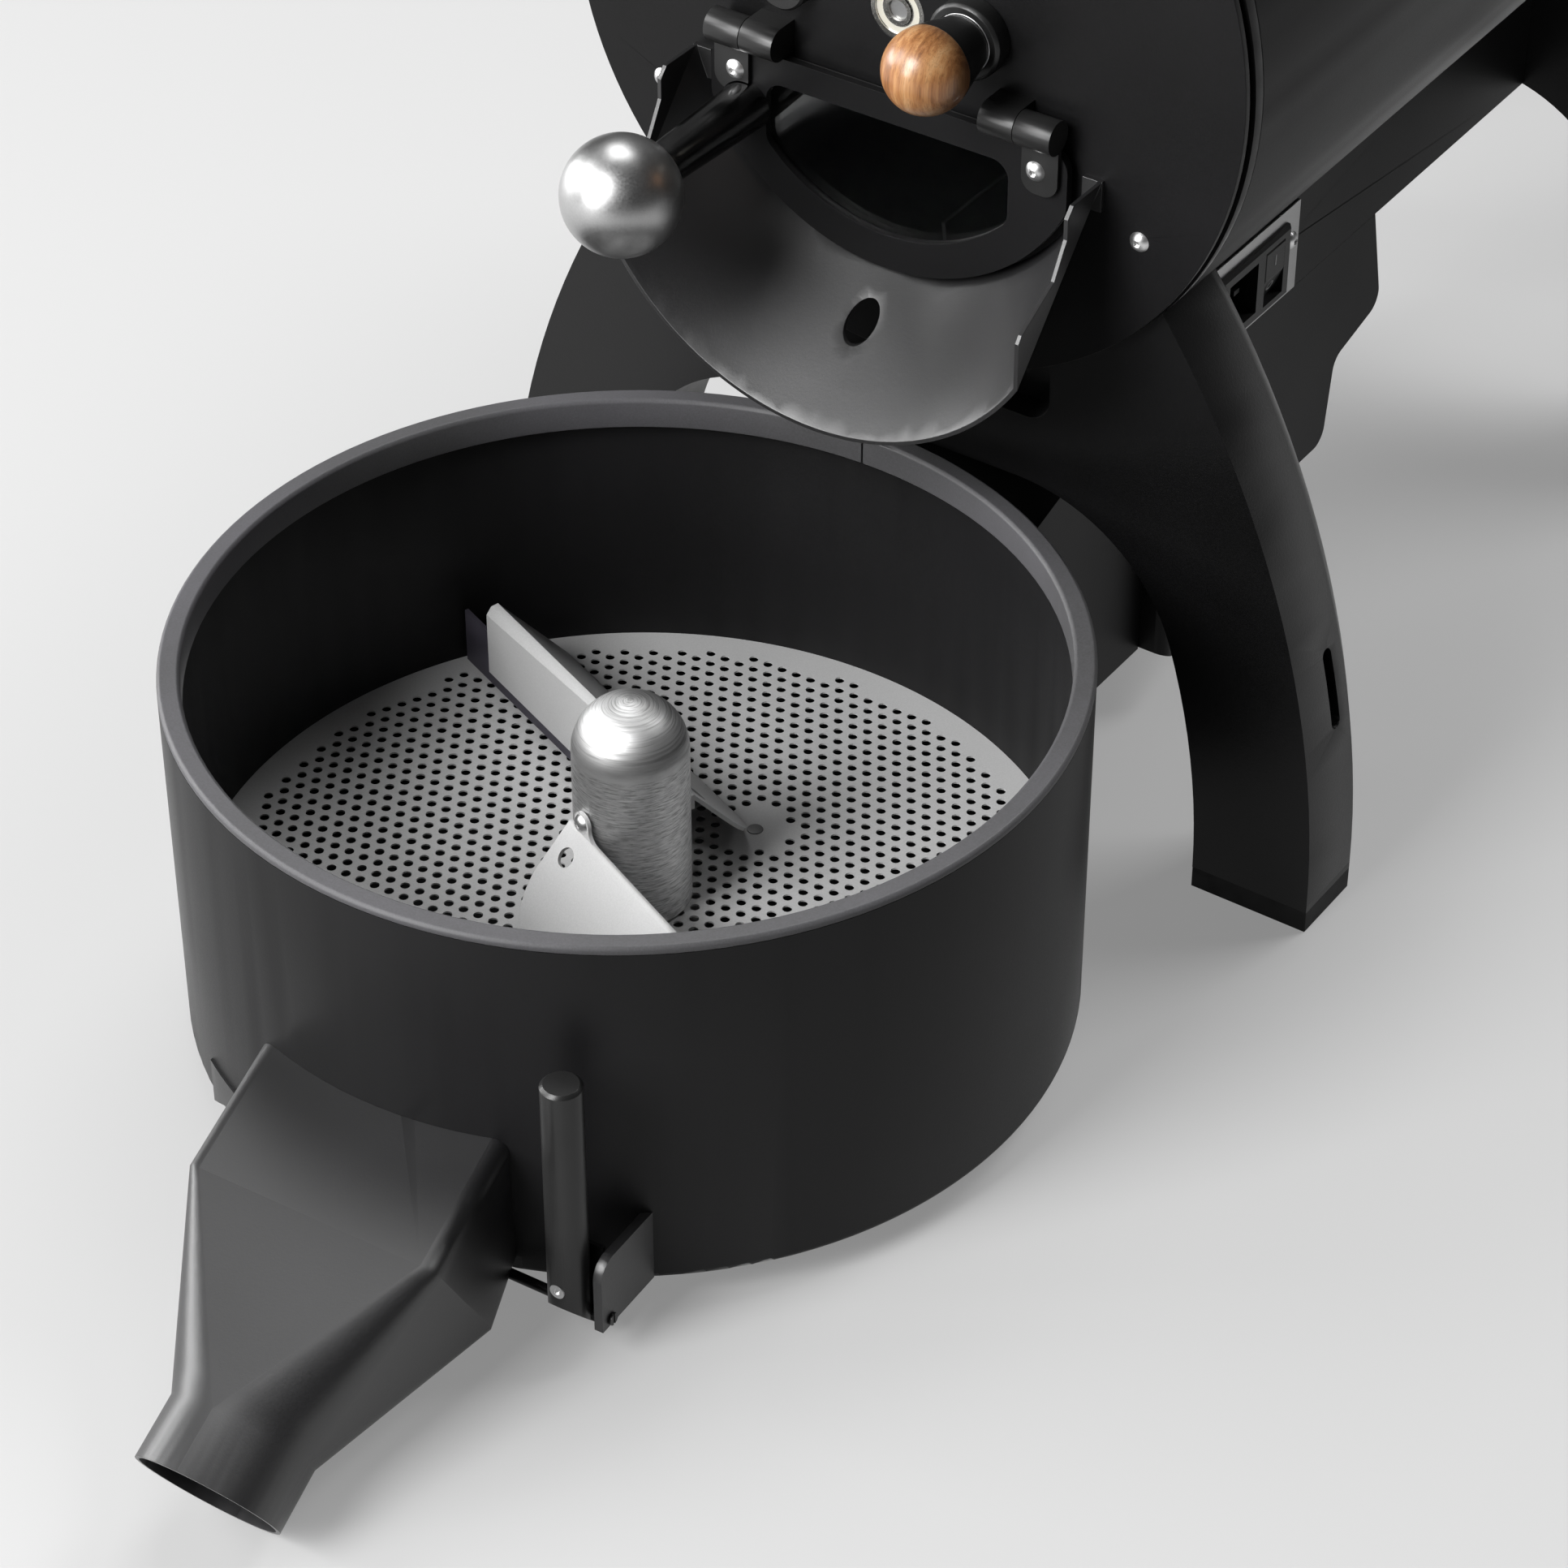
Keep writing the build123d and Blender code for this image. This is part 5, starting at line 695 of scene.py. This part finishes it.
BLADE_TURN = math.radians(-22.2)
FOLD_ENDS = (-6.0 * MM, 138.4 * MM)
FOLD_STEPS = 24
FOLD_SMOOTH = 60
# Sections of the fold at the hub and at the tip, as (across, up) in millimetres.
FOLD_AT_HUB = ((-21.05, 87.0), (-21.7, 87.75), (-22.7, 87.6), (-23.4, 86.5), (-22.0, 85.8))
FOLD_AT_TIP = ((-21.05, 79.9), (-23.2, 83.0), (-26.2, 83.45), (-27.0, 82.3), (-22.8, 78.6))


def blade_folds():
    """Rounded folds that join each blade's leaning face to its upright one."""
    for name, turn in (("blade_fold_front", 0), ("blade_fold_back", math.pi)):
        spin = Matrix.Rotation(BLADE_TURN + turn, 3, "Z")
        vertices = []
        for i in range(FOLD_STEPS + 1):
            share = i / FOLD_STEPS
            along = FOLD_ENDS[0] + (FOLD_ENDS[1] - FOLD_ENDS[0]) * share
            for hub, tip in zip(FOLD_AT_HUB, FOLD_AT_TIP):
                across, up = ((h + (e - h) * share) * MM for h, e in zip(hub, tip))
                vertices.append(TRAY + spin @ Vector((along, across, up)))
        faces = swept_faces(FOLD_STEPS + 1, len(FOLD_AT_HUB))
        add_piece(name, vertices, faces, "blade", "stirrer", FOLD_SMOOTH)


sieve_plate()
sieve_plug()
switch_marks()
blade_folds()


# ---------------------------------------------------------------- camera, floor and light
VIEW_REACH = 50
FLOOR_REACH = 12.0
FLOOR_DROP = 0.2 * MM
FLOOR_SHADE = 0.31
FLOOR_UNSEEN = 0.12  # its shade for the light that it throws back at the machine
FLOOR_GLOW = 0.25
LAMP_DISTANCE = 3.0
LAMP_TARGET = Vector((0, 0, 0.15))
WORLD_STRENGTH = 0.03
# Azimuth and elevation in degrees, width and height in metres, and power in watts.
LAMPS = {
    "front": (196, 38, 1.3, 1.2, 95),
    "front_low": (200, 16, 1.0, 0.7, 35),
    "left": (240, 30, 1.4, 1.2, 45),
    "left_low": (262, 10, 1.6, 0.7, 45),
    "back_right": (30, 48, 1.2, 1.2, 45),
    "back_left": (326, 64, 1.8, 1.6, 45),
}


def add_camera():
    """The photograph's viewpoint."""
    data = bpy.data.cameras.new("camera")
    data.sensor_width = SENSOR
    data.lens = FOCAL_PIXELS / IMAGE_SIZE * SENSOR
    data.clip_end = VIEW_REACH
    camera = bpy.data.objects.new("camera", data)
    bpy.context.scene.collection.objects.link(camera)
    camera.location = TRAY + CAMERA_FROM_TRAY
    level = math.cos(CAMERA_ELEVATION)
    look = Vector((
        -math.sin(CAMERA_AZIMUTH) * level,
        math.cos(CAMERA_AZIMUTH) * level,
        -math.sin(CAMERA_ELEVATION),
    ))
    camera.rotation_mode = "QUATERNION"
    camera.rotation_quaternion = look.to_track_quat("-Z", "Y")
    bpy.context.scene.camera = camera


def add_floor():
    """A plain pale floor that runs out of sight."""
    mesh = bpy.data.meshes.new("floor")
    reach = FLOOR_REACH
    mesh.from_pydata(
        [(-reach, -reach, 0), (reach, -reach, 0), (reach, reach, 0), (-reach, reach, 0)],
        [],
        [(0, 1, 2, 3)],
    )
    floor = bpy.data.objects.new("floor", mesh)
    floor.location.z = -FLOOR_DROP
    bpy.context.scene.collection.objects.link(floor)
    paint = Paint("floor_paint", (FLOOR_SHADE,) * 3, 0.8, Specular_IOR_Level=0.0)
    rays = paint.node("ShaderNodeLightPath").outputs
    seen = paint.math("ADD", rays["Is Camera Ray"], rays["Is Glossy Ray"])
    seen = paint.math("MINIMUM", paint.math("ADD", seen, rays["Is Transmission Ray"]), 1.0)
    paint.color(paint.ramp(seen, (0.0, (FLOOR_UNSEEN,) * 3), (1.0, (FLOOR_SHADE,) * 3)))
    paint.link(paint.math("MULTIPLY", seen, FLOOR_GLOW), paint.shader.inputs["Emission Strength"])
    paint.shader.inputs["Emission Color"].default_value = (1, 1, 1, 1)
    paint.rough(paint.spread(paint.noise(3.0), 0.76, 0.84))
    mesh.materials.append(paint.material)


def add_lamp(name, azimuth, elevation, width, height, power):
    """A soft box seen from the machine at that azimuth (0 is +Y, 90 is +X) and elevation."""
    data = bpy.data.lights.new(name, "AREA")
    data.shape = "RECTANGLE"
    data.size = width
    data.size_y = height
    data.energy = power
    lamp = bpy.data.objects.new(name, data)
    bpy.context.scene.collection.objects.link(lamp)
    a, e = math.radians(azimuth), math.radians(elevation)
    way = Vector((math.sin(a) * math.cos(e), math.cos(a) * math.cos(e), math.sin(e)))
    lamp.location = LAMP_TARGET + way * LAMP_DISTANCE
    lamp.rotation_mode = "QUATERNION"
    lamp.rotation_quaternion = (-way).to_track_quat("-Z", "Y")


add_camera()
add_floor()
for lamp_name, lamp_values in LAMPS.items():
    add_lamp(lamp_name, *lamp_values)
world = bpy.data.worlds.new("studio")
bpy.context.scene.world = world
world.use_nodes = True
background = world.node_tree.nodes["Background"].inputs
background["Color"].default_value = (1, 1, 1, 1)
background["Strength"].default_value = WORLD_STRENGTH
bpy.context.scene.view_settings.view_transform = "Standard"
